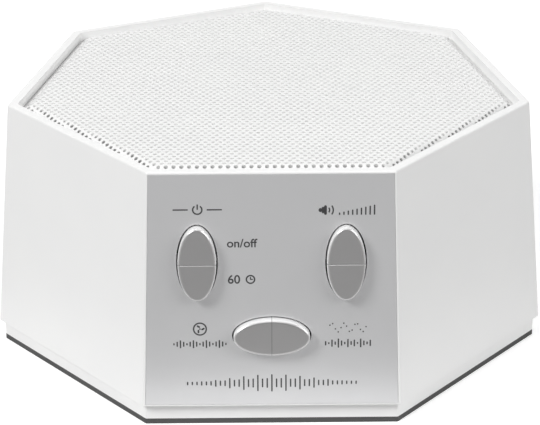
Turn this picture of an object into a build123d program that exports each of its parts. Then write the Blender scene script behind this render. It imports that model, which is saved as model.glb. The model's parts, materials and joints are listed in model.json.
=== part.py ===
"""A bedside sound machine: a seven-sided white housing with a speaker grille on top, a grey
control panel with three oval rocker keys on its front face, and a plinth on a rubber foot.

Millimetres. +Z is up, the control panel faces -Y, and the origin is on the table under the
centre of the seven-sided outline.
"""

import os
from math import cos, pi, radians, sin, tan

from build123d import *

os.makedirs("parts", exist_ok=True)

# ---------------------------------------------------------------------------------------------
# Driving dimensions
# ---------------------------------------------------------------------------------------------

# Outline
side_count = 7
skirt_width = 112.0  # across the two widest corners, at the housing's lower edge
overall_height = 51.6  # table to the top of the rim
wall_lean = 4.08  # degrees that the outer faces lean inwards
skirt_height = 4.3  # table to the housing's lower edge
plinth_step = 1.0  # how far the plinth stands back from the housing's faces
corner_radius = 0.4  # on the upright corners
rim_edge_radius = 0.35  # on the housing's top edge
wall = 2.5
joint_gap = 0.1  # between fixed pieces that drop into one another
near_fit = 0.3  # between pieces that only pass one another

# Grille and deck
rim_flat = 1.8  # width of the rim round the grille
rim_inner_radius = 1.2  # on the inner corners of the rim
grille_recess = 0.4  # the grille's top lies this far under the rim
grille_depth = 3.6  # height of the grille's pan
grille_thickness = 0.7
grille_edge_run = 2.6  # width of the sloping edge round the pan's flat top
grille_edge_drop = 1.65  # how far that edge falls
grille_bend = 0.8  # outer radius of the bend between the two
cloth_thickness = 0.3
cloth_margin = 0.4  # the cloth ends this far inside the flat
deck_thickness = 2.4

# Control panel
fascia_thickness = 1.2
fascia_low_side_margin = 0.48  # white edge left at each side of the fascia, at its foot
fascia_high_side_margin = 0.22  # the same at its top
fascia_foot_margin = 0.2  # white edge left below the fascia
fascia_top_margin = 0.45  # white edge left above the fascia
fascia_gap = 0.02  # all round the fascia in its pocket
fascia_edge_radius = 0.12
stake_radius = 0.7
stake_heights = (10.0, 24.0, 38.0)  # up the face, from the housing's lower edge
stake_head_radius = 1.15
stake_head_height = 0.6
ledge_land = 0.6  # between a stake's hole and the window
window_land = 1.0  # between the window's top and the deck

# Rocker keys
key_width = 7.3
key_length = 14.6
key_gap = 0.3  # all round, in the fascia's opening
key_rise = 1.8  # the key's ends stand this proud of the fascia
key_edge_radius = 0.55
key_dish = 0.15  # both halves of the key's top fall this much towards its middle
key_wall = 1.2
key_crown = 1.6  # thickness of the key's top at its middle
key_tail = 4.2  # the key's skirt reaches this far behind the fascia's face
groove_half_width = 0.25
groove_depth = 0.15
pivot_depth = 3.0  # key pivots lie this far behind the fascia's face
pivot_radius = 0.8
pivot_fit = 0.06  # radial
ear_thickness = 1.3
ear_width = 4.0
ear_land = 0.6  # material left behind each pivot's hole
ear_side_gap = 0.25  # between a key's side and the ear beside it
stub_end_gap = 0.15  # each pivot stops this far inside its ear's outer side
foot_depth = 5.0  # the key's two feet reach this far behind the fascia's face
foot_reach = 5.0  # from the key's middle to each foot
foot_radius = 1.2
keys = {  # each key's place on the face, across and up, and the turn of its long axis
    "power": (-14.1, 29.45, 0.0),
    "volume": (14.1, 29.45, 0.0),
    "sound": (0.0, 14.5, -90.0),
}

# Dome pads and control board
pad_length = 15.0
pad_width = 6.6
pad_corner_radius = 1.6
pad_thickness = 0.5
dome_height = 0.6
dome_base_radius = 2.3
dome_top_radius = 1.5
dome_hollow_radius = 1.3
dome_crown = 0.4  # thickness of a dome's top
dome_gap = 0.1  # between a dome and the key's foot
board_thickness = 1.6
control_board_width = 40.0
control_board_low = 5.5  # up the face, from the housing's lower edge
control_board_high = 40.5
board_corner_radius = 1.5
control_screws = ((-17.0, 9.0), (17.0, 9.0), (-5.5, 37.0), (5.5, 37.0))
standoff_radius = 2.2
header_up = 10.0  # up the face to the ribbon header on the control board

# Base cover, foot and their screws
foot_thickness = 1.1
base_floor = 2.5
base_rim_thickness = 1.6
base_rim_height = 3.0  # above the housing's lower edge
base_rim_gap = 0.25  # between the base's rim and the housing's wall
post_sides = (1, 2.5, 4.5, 6)  # places of the screw posts, in sides round from the front one
post_radius = 3.4
post_wall_gap = 0.4  # between a post and the wall, where the wall is nearest
post_seat = 5.0  # height of the joint between each post and the base
base_screw_radius = 1.45
base_screw_length = 9.0
base_head_radius = 2.8
base_head_height = 1.4
base_head_cover = 0.1  # the head lies this deep in its pocket
thread_fit = 0.05  # between a screw and the hole in which it cuts its thread
hole_fit = 0.25  # between a screw and a hole that it passes through
tip_room = 0.5  # a blind hole goes on this far past its screw

# Small screws, for the boards and the speaker
board_screw_radius = 1.0
board_screw_length = 4.5
board_head_radius = 1.8
board_head_height = 1.2
speaker_screw_radius = 1.15
speaker_screw_length = 5.2
speaker_head_radius = 2.0
speaker_head_height = 1.4
recess_width = 0.5  # arms of the cross in a screw's head
recess_depth = 0.7
recess_span = 1.2  # length of the arms, in head radii

# Speaker
speaker_y = 2.0
gasket_thickness = 1.0
flange_land = 4.0  # width of the flange outside the surround
flange_thickness = 1.2
bowl_depth = 16.0  # from the flange's underside to the bowl's
bowl_foot_radius = 19.0
bowl_thickness = 1.2
bowl_window_width = 17.0
bowl_window_height = 9.0
bowl_window_count = 4
spider_shelf_rise = 1.8
spider_shelf_width = 2.4
plate_thickness = 3.5
plate_radius = 18.5
magnet_thickness = 7.5
magnet_radius = 21.0
magnet_bore_radius = 10.5
magnet_edge_radius = 0.6
yoke_thickness = 3.0
yoke_radius = 19.0
pole_radius = 7.2
coil_fit = 0.3  # each side of the voice coil
former_thickness = 0.3
former_overlap = 0.4  # the former ends this far above the foot of the cone
winding_thickness = 0.3
winding_height = 5.0
cone_rim_radius = 24.4
cone_lip = 1.6
cone_depth = 10.1
cone_collar = 1.5  # height of the sleeve that is glued to the former
paper_thickness = 0.6
cap_radius = 10.0
cap_rise = 3.2
cap_thickness = 0.4
cap_glue = 0.1  # between the dust cap's edge and the cone
roll_radius = 1.8  # mid-line of the surround's half roll
roll_thickness = 0.5
lip_width = 1.0  # the surround's flat lips, on the cone and on the flange
spider_thickness = 0.4
spider_wave = 0.5
spider_wave_count = 3
spider_flat = 1.4  # flat ends of the spider, on the coil and on the shelf
speaker_screw_angles = (45, 135, 225, 315)
speaker_screw_inset = 2.2  # from the flange's edge
deck_pad_radius = 2.2
deck_pad_height = 2.0
tag_width = 9.0
tag_height = 8.5
tag_thickness = 1.0
tag_bowl_gap = 0.6
tab_spacing = 5.2
tab_width = 2.8
tab_height = 6.5
tab_drop = 1.5  # the tabs hang this far below the tag board
tab_thickness = 0.5

# Main board and its place
main_board_height = 8.0  # table to its underside
main_board_wall_gap = 3.85
main_board_setback = 18.75  # from the housing's lower front edge back to the board
main_board_corner_radius = 2.0
post_notch_gap = 0.8
main_screws = ((-22.0, -24.0), (22.0, -24.0), (-30.0, 16.0), (30.0, 16.0))
main_post_radius = 2.6

# Wires, and the headers that they plug into
header_width = 11.0
header_depth = 2.8
control_header_height = 4.5
main_header_height = 4.5
main_header_setback = 5.5  # from the main board's front edge
ribbon_width = 9.0
ribbon_thickness = 0.3
ribbon_rise = 5.5
lead_radius = 0.6
lead_header_place = (-33.0, 2.0)
lead_header_size = (4.5, 7.5, 5.5)
lead_pitch = 3.2
lead_drop = 6.5  # straight run out of each end
lead_swing = 0.8  # how far that run leans away from the bowl
bend_share = 0.45  # of the shorter run at a corner, taken by the arc

# Parts on the boards
processor_place = (2.0, 28.0)
processor_side = 10.0
processor_height = 1.4
processor_leg_count = 8
processor_leg_pitch = 1.0
leg_width = 0.4
leg_length = 1.2
leg_thickness = 0.3
amplifier_place = (-19.0, -10.0)
amplifier_size = (5.0, 4.0, 1.5)
amplifier_leg_count = 4
amplifier_leg_pitch = 1.27
capacitor_sizes = (  # place, radius and height of each can
    ((25.5, -10.0), 4.0, 9.0),
    ((26.5, 0.5), 3.15, 7.0),
    ((-27.5, -12.0), 3.15, 7.0),
)
can_edge_radius = 0.5
inductor_place = (19.0, 27.0)
inductor_size = (6.0, 6.0, 3.0)
inductor_corner_radius = 1.2
crystal_place = (9.0, 37.0)
crystal_size = (10.5, 4.6, 3.4)
chip_size = (2.0, 1.25, 0.55)
main_chip_grid = (5.0, 4.5, 4, 3)  # pitches and counts
main_chip_place = (0.0, -15.0)
control_chip_grid = (5.0, 6.0, 4, 2)
control_chip_up = 25.0

# Sockets on the main board, and their holes in the housing
socket_side = 4  # the side of the outline that they open in, counted from the front one
socket_spacing = 18.0
socket_height = 7.2
socket_length = 10.9
socket_overhang = 2.4  # the body passes the main board's edge by this much
nose_recess = 0.4  # each nose ends this far inside the housing's face
power_body_width = 9.0
power_nose_radius = 3.6
power_bore_radius = 2.9
power_bore_depth = 9.5
power_pin_radius = 1.0
power_pin_tip_radius = 0.4
power_pin_setback = 1.0
audio_body_width = 8.0
audio_nose_radius = 3.0
audio_bore_radius = 1.8
audio_bore_depth = 13.0
contact_thickness = 0.3
contact_plate = (4.0, 3.6)
contact_leg_width = 2.0

# ---------------------------------------------------------------------------------------------
# Places and sizes worked out from them
# ---------------------------------------------------------------------------------------------

half_side = pi / side_count  # half the angle that one side takes at the centre
lean = radians(wall_lean)
skirt_apothem = skirt_width * cos(half_side) / (2 * cos(half_side / 2))
face_length = (overall_height - skirt_height) / cos(lean)


def outer_apothem(height):
    """Distance from the centre of the outline to the housing's outer faces, at a height."""
    return skirt_apothem - (height - skirt_height) * tan(lean)


def face_half_width(up):
    """Half the width of the front face, at a distance up it from the housing's lower edge."""
    return (skirt_apothem - up * sin(lean)) * tan(half_side)


def side_angle(sides):
    """Angle about the centre of the outline, counted in sides round from the front one."""
    return -pi / 2 + sides * 2 * half_side


grille_top = overall_height - grille_recess
deck_top = grille_top - grille_depth
deck_underside = deck_top - deck_thickness
recess_apothem = outer_apothem(overall_height) - rim_flat
grille_apothem = recess_apothem - joint_gap

front_face = Plane(
    origin=(0, -skirt_apothem, skirt_height),
    x_dir=(1, 0, 0),
    z_dir=(0, -cos(lean), sin(lean)),
)
stake_inset = wall * tan(half_side) + (stake_head_radius + joint_gap) / sin(2 * half_side)
stake_points = [
    (side * (face_half_width(up) - stake_inset), up)
    for up in stake_heights
    for side in (-1, 1)
]
window_margin = stake_inset + stake_radius + joint_gap + ledge_land
window_top = (deck_underside - window_land - skirt_height) / cos(lean)

key_planes = {
    name: Plane(front_face * Location((across, up, 0), (0, 0, turn)))
    for name, (across, up, turn) in keys.items()
}
control_board_front = foot_depth + dome_gap + dome_height + pad_thickness
control_board_back = control_board_front + board_thickness
control_back_face = Plane(
    origin=front_face.offset(-control_board_back).origin,
    x_dir=-front_face.x_dir,
    z_dir=-front_face.z_dir,
)
board_screw_bite = board_screw_length - board_thickness

base_floor_top = foot_thickness + base_floor
base_rim_top = skirt_height + base_rim_height
base_rim_apothem = outer_apothem(base_rim_top) - wall - base_rim_gap
base_head_seat = foot_thickness + base_head_cover + base_head_height
post_circle = outer_apothem(deck_underside) - wall - post_wall_gap - post_radius
post_points = [
    (post_circle * cos(side_angle(sides)), post_circle * sin(side_angle(sides)))
    for sides in post_sides
]

main_board_top = main_board_height + board_thickness
main_board_apothem = outer_apothem(main_board_top) - wall - main_board_wall_gap
main_board_front = main_board_setback - skirt_apothem

speaker_axis = Axis((0, speaker_y, 0), (0, 0, 1))
speaker_section = Plane.XZ.offset(-speaker_y)
roll_centre = cone_rim_radius + roll_radius
surround_outer = roll_centre + roll_radius + lip_width
flange_radius = surround_outer + flange_land
flange_top = deck_underside - gasket_thickness
flange_underside = flange_top - flange_thickness
bowl_top_radius = roll_centre + roll_radius - lip_width
bowl_foot = flange_underside - bowl_depth
bowl_floor = bowl_foot + bowl_thickness
shelf_inner = bowl_foot_radius - spider_shelf_width
shelf_top = bowl_floor + spider_shelf_rise
plate_underside = bowl_foot - plate_thickness
magnet_underside = plate_underside - magnet_thickness
yoke_underside = magnet_underside - yoke_thickness
former_inner = pole_radius + coil_fit
former_outer = former_inner + former_thickness
winding_outer = former_outer + winding_thickness
plate_bore_radius = winding_outer + coil_fit
winding_foot = plate_underside + (plate_thickness - winding_height) / 2
cone_foot = flange_top - cone_depth
cone_lip_inner = cone_rim_radius - cone_lip
speaker_screw_points = [
    (
        (flange_radius - speaker_screw_inset) * cos(radians(angle)),
        speaker_y + (flange_radius - speaker_screw_inset) * sin(radians(angle)),
    )
    for angle in speaker_screw_angles
]
speaker_centre = ((0, speaker_y),)
tag_x = -bowl_top_radius - tag_bowl_gap - tag_thickness / 2
tab_x = tag_x - tag_thickness / 2 - tab_thickness / 2
tab_foot = flange_underside - tag_height - tab_drop

socket_axis_height = main_board_top + socket_height / 2
socket_front = main_board_apothem + socket_overhang
socket_back = socket_front - socket_length
nose_end = outer_apothem(socket_axis_height) - nose_recess


def socket_plane(across, out):
    """A plane across a socket's axis, facing outwards, at a distance from the centre."""
    angle = side_angle(socket_side)
    outward = Vector(cos(angle), sin(angle), 0)
    sideways = Vector(-sin(angle), cos(angle), 0)
    origin = outward * out + sideways * across + Vector(0, 0, socket_axis_height)
    return Plane(origin=origin, x_dir=sideways, z_dir=outward)


# ---------------------------------------------------------------------------------------------
# Shapes used more than once. Each is added to the part being made, or cut from it.
# ---------------------------------------------------------------------------------------------


def outline(apothem, height, rounding=0.0):
    """The seven-sided outline at a height, with a flat side to the front."""
    with BuildSketch(Plane.XY.offset(height)) as sketch:
        RegularPolygon(apothem, side_count, major_radius=False, rotation=90)
        if rounding:
            fillet(sketch.vertices(), rounding)
    return sketch.sketch


def prism(apothem, low, high, rounding=0.0, mode=Mode.ADD):
    """An upright seven-sided block."""
    extrude(outline(apothem, low, rounding), amount=high - low, mode=mode)


def frustum(low, high, inset=0.0, mode=Mode.ADD):
    """A seven-sided block whose faces lie a distance inside the housing's outer faces."""
    foot = outline(outer_apothem(low) - inset, low)
    head = outline(outer_apothem(high) - inset, high)
    loft([foot, head], ruled=True, mode=mode)


def face_outline(low, high, low_margin, high_margin):
    """The front face's outline between two heights up it, less a margin at each side."""
    low_half = face_half_width(low) - low_margin
    high_half = face_half_width(high) - high_margin
    corners = [(-low_half, low), (low_half, low), (high_half, high), (-high_half, high)]
    with BuildSketch(front_face) as sketch:
        Polygon(*corners, align=None)
    return sketch.sketch


def fascia_outline(gap):
    """The outline of the fascia's pocket, less a gap all round."""
    return face_outline(
        fascia_foot_margin + gap,
        face_length - fascia_top_margin - gap,
        fascia_low_side_margin + gap,
        fascia_high_side_margin + gap,
    )


def pegs(plane, radius, length, points, mode=Mode.ADD):
    """Round pegs or holes that start on a plane and run along its normal."""
    with BuildSketch(plane) as sketch:
        with Locations(*points):
            Circle(radius)
    extrude(sketch.sketch, amount=length, mode=mode)


def disc(radius, low, thickness, points, mode=Mode.ADD):
    """Upright round pegs or holes."""
    pegs(Plane.XY.offset(low), radius, thickness, points, mode)


def ring(outer, inner, low, thickness):
    """A flat ring round the speaker's axis."""
    with BuildSketch(Plane.XY.offset(low)) as sketch:
        with Locations(*speaker_centre):
            Circle(outer)
            Circle(inner, mode=Mode.SUBTRACT)
    extrude(sketch.sketch, amount=thickness)


def block(place, size, low):
    """An upright box, centred on a place, that stands at a height."""
    width, depth, height = size
    with BuildSketch(Plane.XY.offset(low)) as sketch:
        with Locations(place):
            Rectangle(width, depth)
    extrude(sketch.sketch, amount=height)


def screw(seat, shank_radius, length, head_radius, head_height):
    """A cross-head screw. Its head stands on a plane, and its shank goes in behind it."""
    centre = ((0, 0),)
    pegs(seat, head_radius, head_height, centre)
    pegs(seat, shank_radius, -length, centre)
    with BuildSketch(seat.offset(head_height)) as recess:
        Rectangle(recess_span * head_radius, recess_width)
        Rectangle(recess_width, recess_span * head_radius)
    extrude(recess.sketch, amount=-recess_depth, mode=Mode.SUBTRACT)


def bend_radii(points):
    """The radius of the arc at each corner of a wire's route, as large as its runs allow."""
    radii = []
    for before, corner, after in zip(points, points[1:], points[2:]):
        first = Vector(*corner) - Vector(*before)
        second = Vector(*after) - Vector(*corner)
        half_turn = radians(first.get_angle(second)) / 2
        radii.append(bend_share * min(first.length, second.length) / tan(half_turn))
    return radii


# ---------------------------------------------------------------------------------------------
# Housing: one moulding with leaning walls, a deck for the speaker and a pocket for the fascia
# ---------------------------------------------------------------------------------------------

with BuildPart() as housing:
    frustum(skirt_height, overall_height)
    fillet(housing.edges().filter_by(Plane.XY, reverse=True), corner_radius)
    fillet(housing.edges().group_by(Axis.Z)[-1], rim_edge_radius)
    frustum(skirt_height, deck_underside, inset=wall, mode=Mode.SUBTRACT)
    prism(recess_apothem, deck_top, overall_height, rim_inner_radius, mode=Mode.SUBTRACT)

    # Opening for the speaker, and a blind pad for each of its screws
    opening_radius = surround_outer - lip_width / 2
    disc(opening_radius, deck_underside, deck_thickness, speaker_centre, mode=Mode.SUBTRACT)
    disc(deck_pad_radius, deck_top, deck_pad_height, speaker_screw_points)
    disc(
        speaker_screw_radius + thread_fit,
        deck_underside,
        speaker_screw_length - flange_thickness - gasket_thickness + tip_room,
        speaker_screw_points,
        mode=Mode.SUBTRACT,
    )

    # Pocket for the fascia, the window behind it and the holes for its stakes
    extrude(fascia_outline(0), amount=-fascia_thickness, mode=Mode.SUBTRACT)
    window = face_outline(window_margin, window_top, window_margin, window_margin)
    extrude(window, amount=-2 * wall, mode=Mode.SUBTRACT)
    pegs(front_face, stake_radius + joint_gap, -2 * wall, stake_points, mode=Mode.SUBTRACT)

    # Posts for the base screws, with pilot holes
    disc(post_radius, post_seat, deck_underside - post_seat, post_points)
    disc(
        base_screw_radius + thread_fit,
        post_seat,
        base_head_seat + base_screw_length + tip_room - post_seat,
        post_points,
        mode=Mode.SUBTRACT,
    )

    # Holes for the sockets' noses
    for across, nose_radius in (
        (-socket_spacing / 2, power_nose_radius),
        (socket_spacing / 2, audio_nose_radius),
    ):
        pegs(
            socket_plane(across, socket_front),
            nose_radius + near_fit,
            2 * (outer_apothem(0) - socket_front),
            ((0, 0),),
            mode=Mode.SUBTRACT,
        )
housing.part.label = "housing"

# ---------------------------------------------------------------------------------------------
# Grille: a pan with a sloping edge that stands on the deck inside the rim, lined with cloth
# ---------------------------------------------------------------------------------------------

flat_apothem = grille_apothem - grille_edge_run
sheet_underside = grille_top - grille_thickness
inner_corner = max(rim_inner_radius - grille_thickness, joint_gap)


def pan(side, flat, shoulder, top, rounding, mode=Mode.ADD):
    """A seven-sided block on the deck with upright sides, a sloping edge and a flat top."""
    prism(side, deck_top, shoulder, rounding, mode=mode)
    loft([outline(side, shoulder, rounding), outline(flat, top, rounding)], mode=mode)


with BuildPart() as grille:
    pan(
        grille_apothem,
        flat_apothem,
        grille_top - grille_edge_drop,
        grille_top,
        rim_inner_radius,
    )
    fillet(grille.edges().group_by(Axis.Z)[-1], grille_bend)
    pan(
        grille_apothem - grille_thickness,
        flat_apothem,
        sheet_underside - grille_edge_drop * (1 - grille_thickness / grille_edge_run),
        sheet_underside,
        inner_corner,
        mode=Mode.SUBTRACT,
    )
grille.part.label = "grille"

with BuildPart() as grille_cloth:
    prism(
        flat_apothem - cloth_margin,
        sheet_underside - cloth_thickness,
        sheet_underside,
        inner_corner,
    )
grille_cloth.part.label = "grille_cloth"

# ---------------------------------------------------------------------------------------------
# Fascia: the grey front panel, with ears that carry the keys and posts for the control board
# ---------------------------------------------------------------------------------------------

ear_middle = key_width / 2 + ear_side_gap + ear_thickness / 2
ear_depth = pivot_depth + pivot_radius + pivot_fit + ear_land

with BuildPart() as front_fascia:
    extrude(fascia_outline(fascia_gap), amount=-fascia_thickness)
    across_fascia = Axis(front_face.origin, front_face.z_dir)
    fillet(front_fascia.faces().sort_by(across_fascia)[-1].edges(), fascia_edge_radius)
    for key_plane in key_planes.values():
        with BuildSketch(key_plane):
            Ellipse(key_width / 2 + key_gap, key_length / 2 + key_gap)
        extrude(amount=-fascia_thickness, mode=Mode.SUBTRACT)
        with BuildSketch(key_plane.offset(-fascia_thickness)):
            with Locations((ear_middle, 0), (-ear_middle, 0)):
                Rectangle(ear_thickness, ear_width)
        extrude(amount=fascia_thickness - ear_depth)
        pivot_line = Plane(
            origin=key_plane.offset(-pivot_depth).origin,
            x_dir=key_plane.y_dir,
            z_dir=key_plane.x_dir,
        )
        with BuildSketch(pivot_line):
            Circle(pivot_radius + pivot_fit)
        extrude(amount=ear_middle + ear_thickness, both=True, mode=Mode.SUBTRACT)

    # Posts for the control board
    back_of_sheet = front_face.offset(-fascia_thickness)
    pegs(back_of_sheet, standoff_radius, fascia_thickness - control_board_front, control_screws)
    pegs(
        front_face.offset(-control_board_front),
        board_screw_radius + thread_fit,
        board_screw_bite + tip_room,
        control_screws,
        mode=Mode.SUBTRACT,
    )

    # Stakes through the housing's ledge, with their melted heads
    pegs(back_of_sheet, stake_radius, fascia_thickness - wall, stake_points)
    pegs(front_face.offset(-wall), stake_head_radius, -stake_head_height, stake_points)
front_fascia.part.label = "front_fascia"

# ---------------------------------------------------------------------------------------------
# Rocker keys, and the rubber dome pad behind each
# ---------------------------------------------------------------------------------------------

crown_underside = key_rise - key_dish - key_crown


def rocker(name, plane):
    """One oval key: a hollow cap with two falling halves, two stub pivots and two feet."""
    across_key = Plane(origin=plane.origin, x_dir=plane.y_dir, z_dir=plane.x_dir)
    half_length = key_length / 2
    middle = key_rise - key_dish
    with BuildPart() as key:
        with BuildSketch(plane.offset(-key_tail)):
            Ellipse(key_width / 2, half_length)
        extrude(amount=key_tail + key_rise)
        with BuildSketch(across_key):
            Polygon((0, middle), (half_length, key_rise), (-half_length, key_rise), align=None)
        extrude(amount=key_width, both=True, mode=Mode.SUBTRACT)
        top_faces = key.faces().filter_by(GeomType.PLANE).sort_by(Axis(plane.origin, plane.z_dir))
        rim = top_faces[-2:].edges().filter_by(GeomType.LINE, reverse=True)
        fillet(rim, key_edge_radius)
        with BuildSketch(across_key):
            Polygon(
                (0, middle - groove_depth),
                (groove_half_width, middle + groove_depth),
                (-groove_half_width, middle + groove_depth),
                align=None,
            )
        extrude(amount=key_width, both=True, mode=Mode.SUBTRACT)
        with BuildSketch(plane.offset(-key_tail)):
            Ellipse(key_width / 2 - key_wall, half_length - key_wall)
        extrude(amount=key_tail + crown_underside, mode=Mode.SUBTRACT)
        with BuildSketch(plane.offset(-foot_depth)):
            with Locations((0, foot_reach), (0, -foot_reach)):
                Circle(foot_radius)
        extrude(amount=foot_depth + crown_underside)
        for side in (-1, 1):
            stub_root = key_width / 2 - key_wall / 2
            stub_start = plane.from_local_coords((side * stub_root, 0, -pivot_depth))
            with BuildSketch(Plane(stub_start, x_dir=plane.y_dir, z_dir=plane.x_dir * side)):
                Circle(pivot_radius)
            extrude(amount=ear_middle + ear_thickness / 2 - stub_end_gap - stub_root)
    key.part.label = name
    return key


def dome_pad(name, plane):
    """One silicone pad with two hollow domes, lying on the control board behind a key."""
    board_face = plane.offset(-control_board_front)
    domes = [(0, foot_reach), (0, -foot_reach)]
    with BuildPart() as pad:
        with BuildSketch(board_face):
            RectangleRounded(pad_width, pad_length, pad_corner_radius)
        extrude(amount=pad_thickness)
        for dome in domes:
            with BuildSketch(board_face.offset(pad_thickness)):
                with Locations(dome):
                    Circle(dome_base_radius)
            with BuildSketch(board_face.offset(pad_thickness + dome_height)):
                with Locations(dome):
                    Circle(dome_top_radius)
            loft()
        with BuildSketch(board_face):
            with Locations(*domes):
                Circle(dome_hollow_radius)
        extrude(amount=pad_thickness + dome_height - dome_crown, mode=Mode.SUBTRACT)
    pad.part.label = name
    return pad


rockers = [rocker(f"{name}_rocker", plane) for name, plane in key_planes.items()]
dome_pads = [dome_pad(f"{name}_dome_pad", plane) for name, plane in key_planes.items()]

# ---------------------------------------------------------------------------------------------
# Control board, behind the keys
# ---------------------------------------------------------------------------------------------

with BuildPart() as control_board:
    with BuildSketch(front_face.offset(-control_board_front)):
        with Locations((0, (control_board_low + control_board_high) / 2)):
            RectangleRounded(
                control_board_width,
                control_board_high - control_board_low,
                board_corner_radius,
            )
        with Locations(*control_screws):
            Circle(board_screw_radius + hole_fit, mode=Mode.SUBTRACT)
    extrude(amount=-board_thickness)
control_board.part.label = "control_board"

with BuildPart() as control_board_screws:
    for across, up in control_screws:
        screw(
            Plane(
                control_back_face.from_local_coords((-across, up, 0)),
                x_dir=control_back_face.x_dir,
                z_dir=control_back_face.z_dir,
            ),
            board_screw_radius,
            board_screw_length,
            board_head_radius,
            board_head_height,
        )
control_board_screws.part.label = "control_board_screws"

with BuildPart() as control_board_header:
    with BuildSketch(control_back_face):
        with Locations((0, header_up)):
            Rectangle(header_width, header_depth)
    extrude(amount=control_header_height)
control_board_header.part.label = "control_board_header"

chip_width, chip_depth, chip_height = chip_size
with BuildPart() as control_board_chips:
    with BuildSketch(control_back_face):
        with Locations((0, control_chip_up)):
            with GridLocations(*control_chip_grid):
                Rectangle(chip_width, chip_depth)
    extrude(amount=chip_height)
control_board_chips.part.label = "control_board_chips"

# ---------------------------------------------------------------------------------------------
# Base cover with its screws, and the rubber foot under it
# ---------------------------------------------------------------------------------------------

plinth_apothem = skirt_apothem - plinth_step

with BuildPart() as base_cover:
    prism(plinth_apothem, foot_thickness, skirt_height, corner_radius)
    prism(base_rim_apothem, skirt_height, base_rim_top, corner_radius)
    prism(
        base_rim_apothem - base_rim_thickness,
        base_floor_top,
        base_rim_top,
        corner_radius,
        mode=Mode.SUBTRACT,
    )
    disc(post_radius, base_floor_top, post_seat - base_floor_top, post_points)
    disc(
        base_screw_radius + hole_fit,
        foot_thickness,
        post_seat - foot_thickness,
        post_points,
        mode=Mode.SUBTRACT,
    )
    disc(
        base_head_radius + hole_fit,
        foot_thickness,
        base_head_seat - foot_thickness,
        post_points,
        mode=Mode.SUBTRACT,
    )

    # Posts for the main board
    disc(main_post_radius, base_floor_top, main_board_height - base_floor_top, main_screws)
    disc(
        board_screw_radius + thread_fit,
        main_board_height - board_screw_bite - tip_room,
        board_screw_bite + tip_room,
        main_screws,
        mode=Mode.SUBTRACT,
    )
base_cover.part.label = "base_cover"

with BuildPart() as base_screws:
    for x, y in post_points:
        screw(
            Plane((x, y, base_head_seat), x_dir=(1, 0, 0), z_dir=(0, 0, -1)),
            base_screw_radius,
            base_screw_length,
            base_head_radius,
            base_head_height,
        )
base_screws.part.label = "base_screws"

with BuildPart() as foot_pad:
    prism(plinth_apothem, 0, foot_thickness, corner_radius)
    disc(base_head_radius + hole_fit, 0, foot_thickness, post_points, mode=Mode.SUBTRACT)
foot_pad.part.label = "foot_pad"

# ---------------------------------------------------------------------------------------------
# Speaker: gasket, frame, screws and magnet
# ---------------------------------------------------------------------------------------------

with BuildPart() as speaker_gasket:
    ring(flange_radius, surround_outer + joint_gap, flange_top, gasket_thickness)
    disc(
        speaker_screw_radius + hole_fit,
        flange_top,
        gasket_thickness,
        speaker_screw_points,
        mode=Mode.SUBTRACT,
    )
speaker_gasket.part.label = "speaker_gasket"

with BuildPart() as speaker_frame:
    with BuildSketch(speaker_section):
        Polygon(
            (plate_bore_radius + bowl_thickness, bowl_foot),
            (bowl_foot_radius, bowl_foot),
            (bowl_top_radius, flange_underside),
            (flange_radius, flange_underside),
            (flange_radius, flange_top),
            (bowl_top_radius - bowl_thickness, flange_top),
            (bowl_foot_radius, shelf_top),
            (shelf_inner, shelf_top),
            (shelf_inner, bowl_floor),
            (plate_bore_radius + bowl_thickness, bowl_floor),
            align=None,
        )
    revolve(axis=speaker_axis)
    window_low = (flange_underside + shelf_top - bowl_window_height) / 2
    with BuildSketch(Plane.XY.offset(window_low)):
        with Locations(*speaker_centre):
            with PolarLocations(
                bowl_top_radius, bowl_window_count, start_angle=180 / bowl_window_count
            ):
                Rectangle(bowl_top_radius, bowl_window_width)
    extrude(amount=bowl_window_height, mode=Mode.SUBTRACT)
    disc(
        speaker_screw_radius + hole_fit,
        flange_underside,
        flange_thickness,
        speaker_screw_points,
        mode=Mode.SUBTRACT,
    )
speaker_frame.part.label = "speaker_frame"

with BuildPart() as speaker_screws:
    for x, y in speaker_screw_points:
        screw(
            Plane((x, y, flange_underside), x_dir=(1, 0, 0), z_dir=(0, 0, -1)),
            speaker_screw_radius,
            speaker_screw_length,
            speaker_head_radius,
            speaker_head_height,
        )
speaker_screws.part.label = "speaker_screws"

with BuildPart() as speaker_top_plate:
    ring(plate_radius, plate_bore_radius, plate_underside, plate_thickness)
speaker_top_plate.part.label = "speaker_top_plate"

with BuildPart() as speaker_magnet:
    ring(magnet_radius, magnet_bore_radius, magnet_underside, magnet_thickness)
    outer_edges = speaker_magnet.edges().filter_by(GeomType.CIRCLE).sort_by(SortBy.RADIUS)[-2:]
    fillet(outer_edges, magnet_edge_radius)
speaker_magnet.part.label = "speaker_magnet"

with BuildPart() as speaker_yoke:
    disc(yoke_radius, yoke_underside, yoke_thickness, speaker_centre)
    disc(pole_radius, magnet_underside, bowl_foot - magnet_underside, speaker_centre)
speaker_yoke.part.label = "speaker_yoke"

# ---------------------------------------------------------------------------------------------
# Speaker: what moves, and the two soft rings that carry it
# ---------------------------------------------------------------------------------------------

cone_slope = (cone_depth - paper_thickness) / (cone_lip_inner - former_outer)

with BuildPart() as speaker_cone:
    with BuildSketch(speaker_section):
        Polygon(
            (former_outer, cone_foot - cone_collar),
            (former_outer + paper_thickness, cone_foot - cone_collar),
            (former_outer + paper_thickness, cone_foot),
            (cone_lip_inner + paper_thickness / 2, flange_top - paper_thickness),
            (cone_rim_radius, flange_top - paper_thickness),
            (cone_rim_radius, flange_top),
            (cone_lip_inner, flange_top),
            (former_outer, cone_foot + paper_thickness),
            align=None,
        )
    revolve(axis=speaker_axis)
speaker_cone.part.label = "speaker_cone"

cap_foot = cone_foot + paper_thickness + cap_glue + (cap_radius - former_outer) * cone_slope
cap_top = cap_foot + cap_rise

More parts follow.
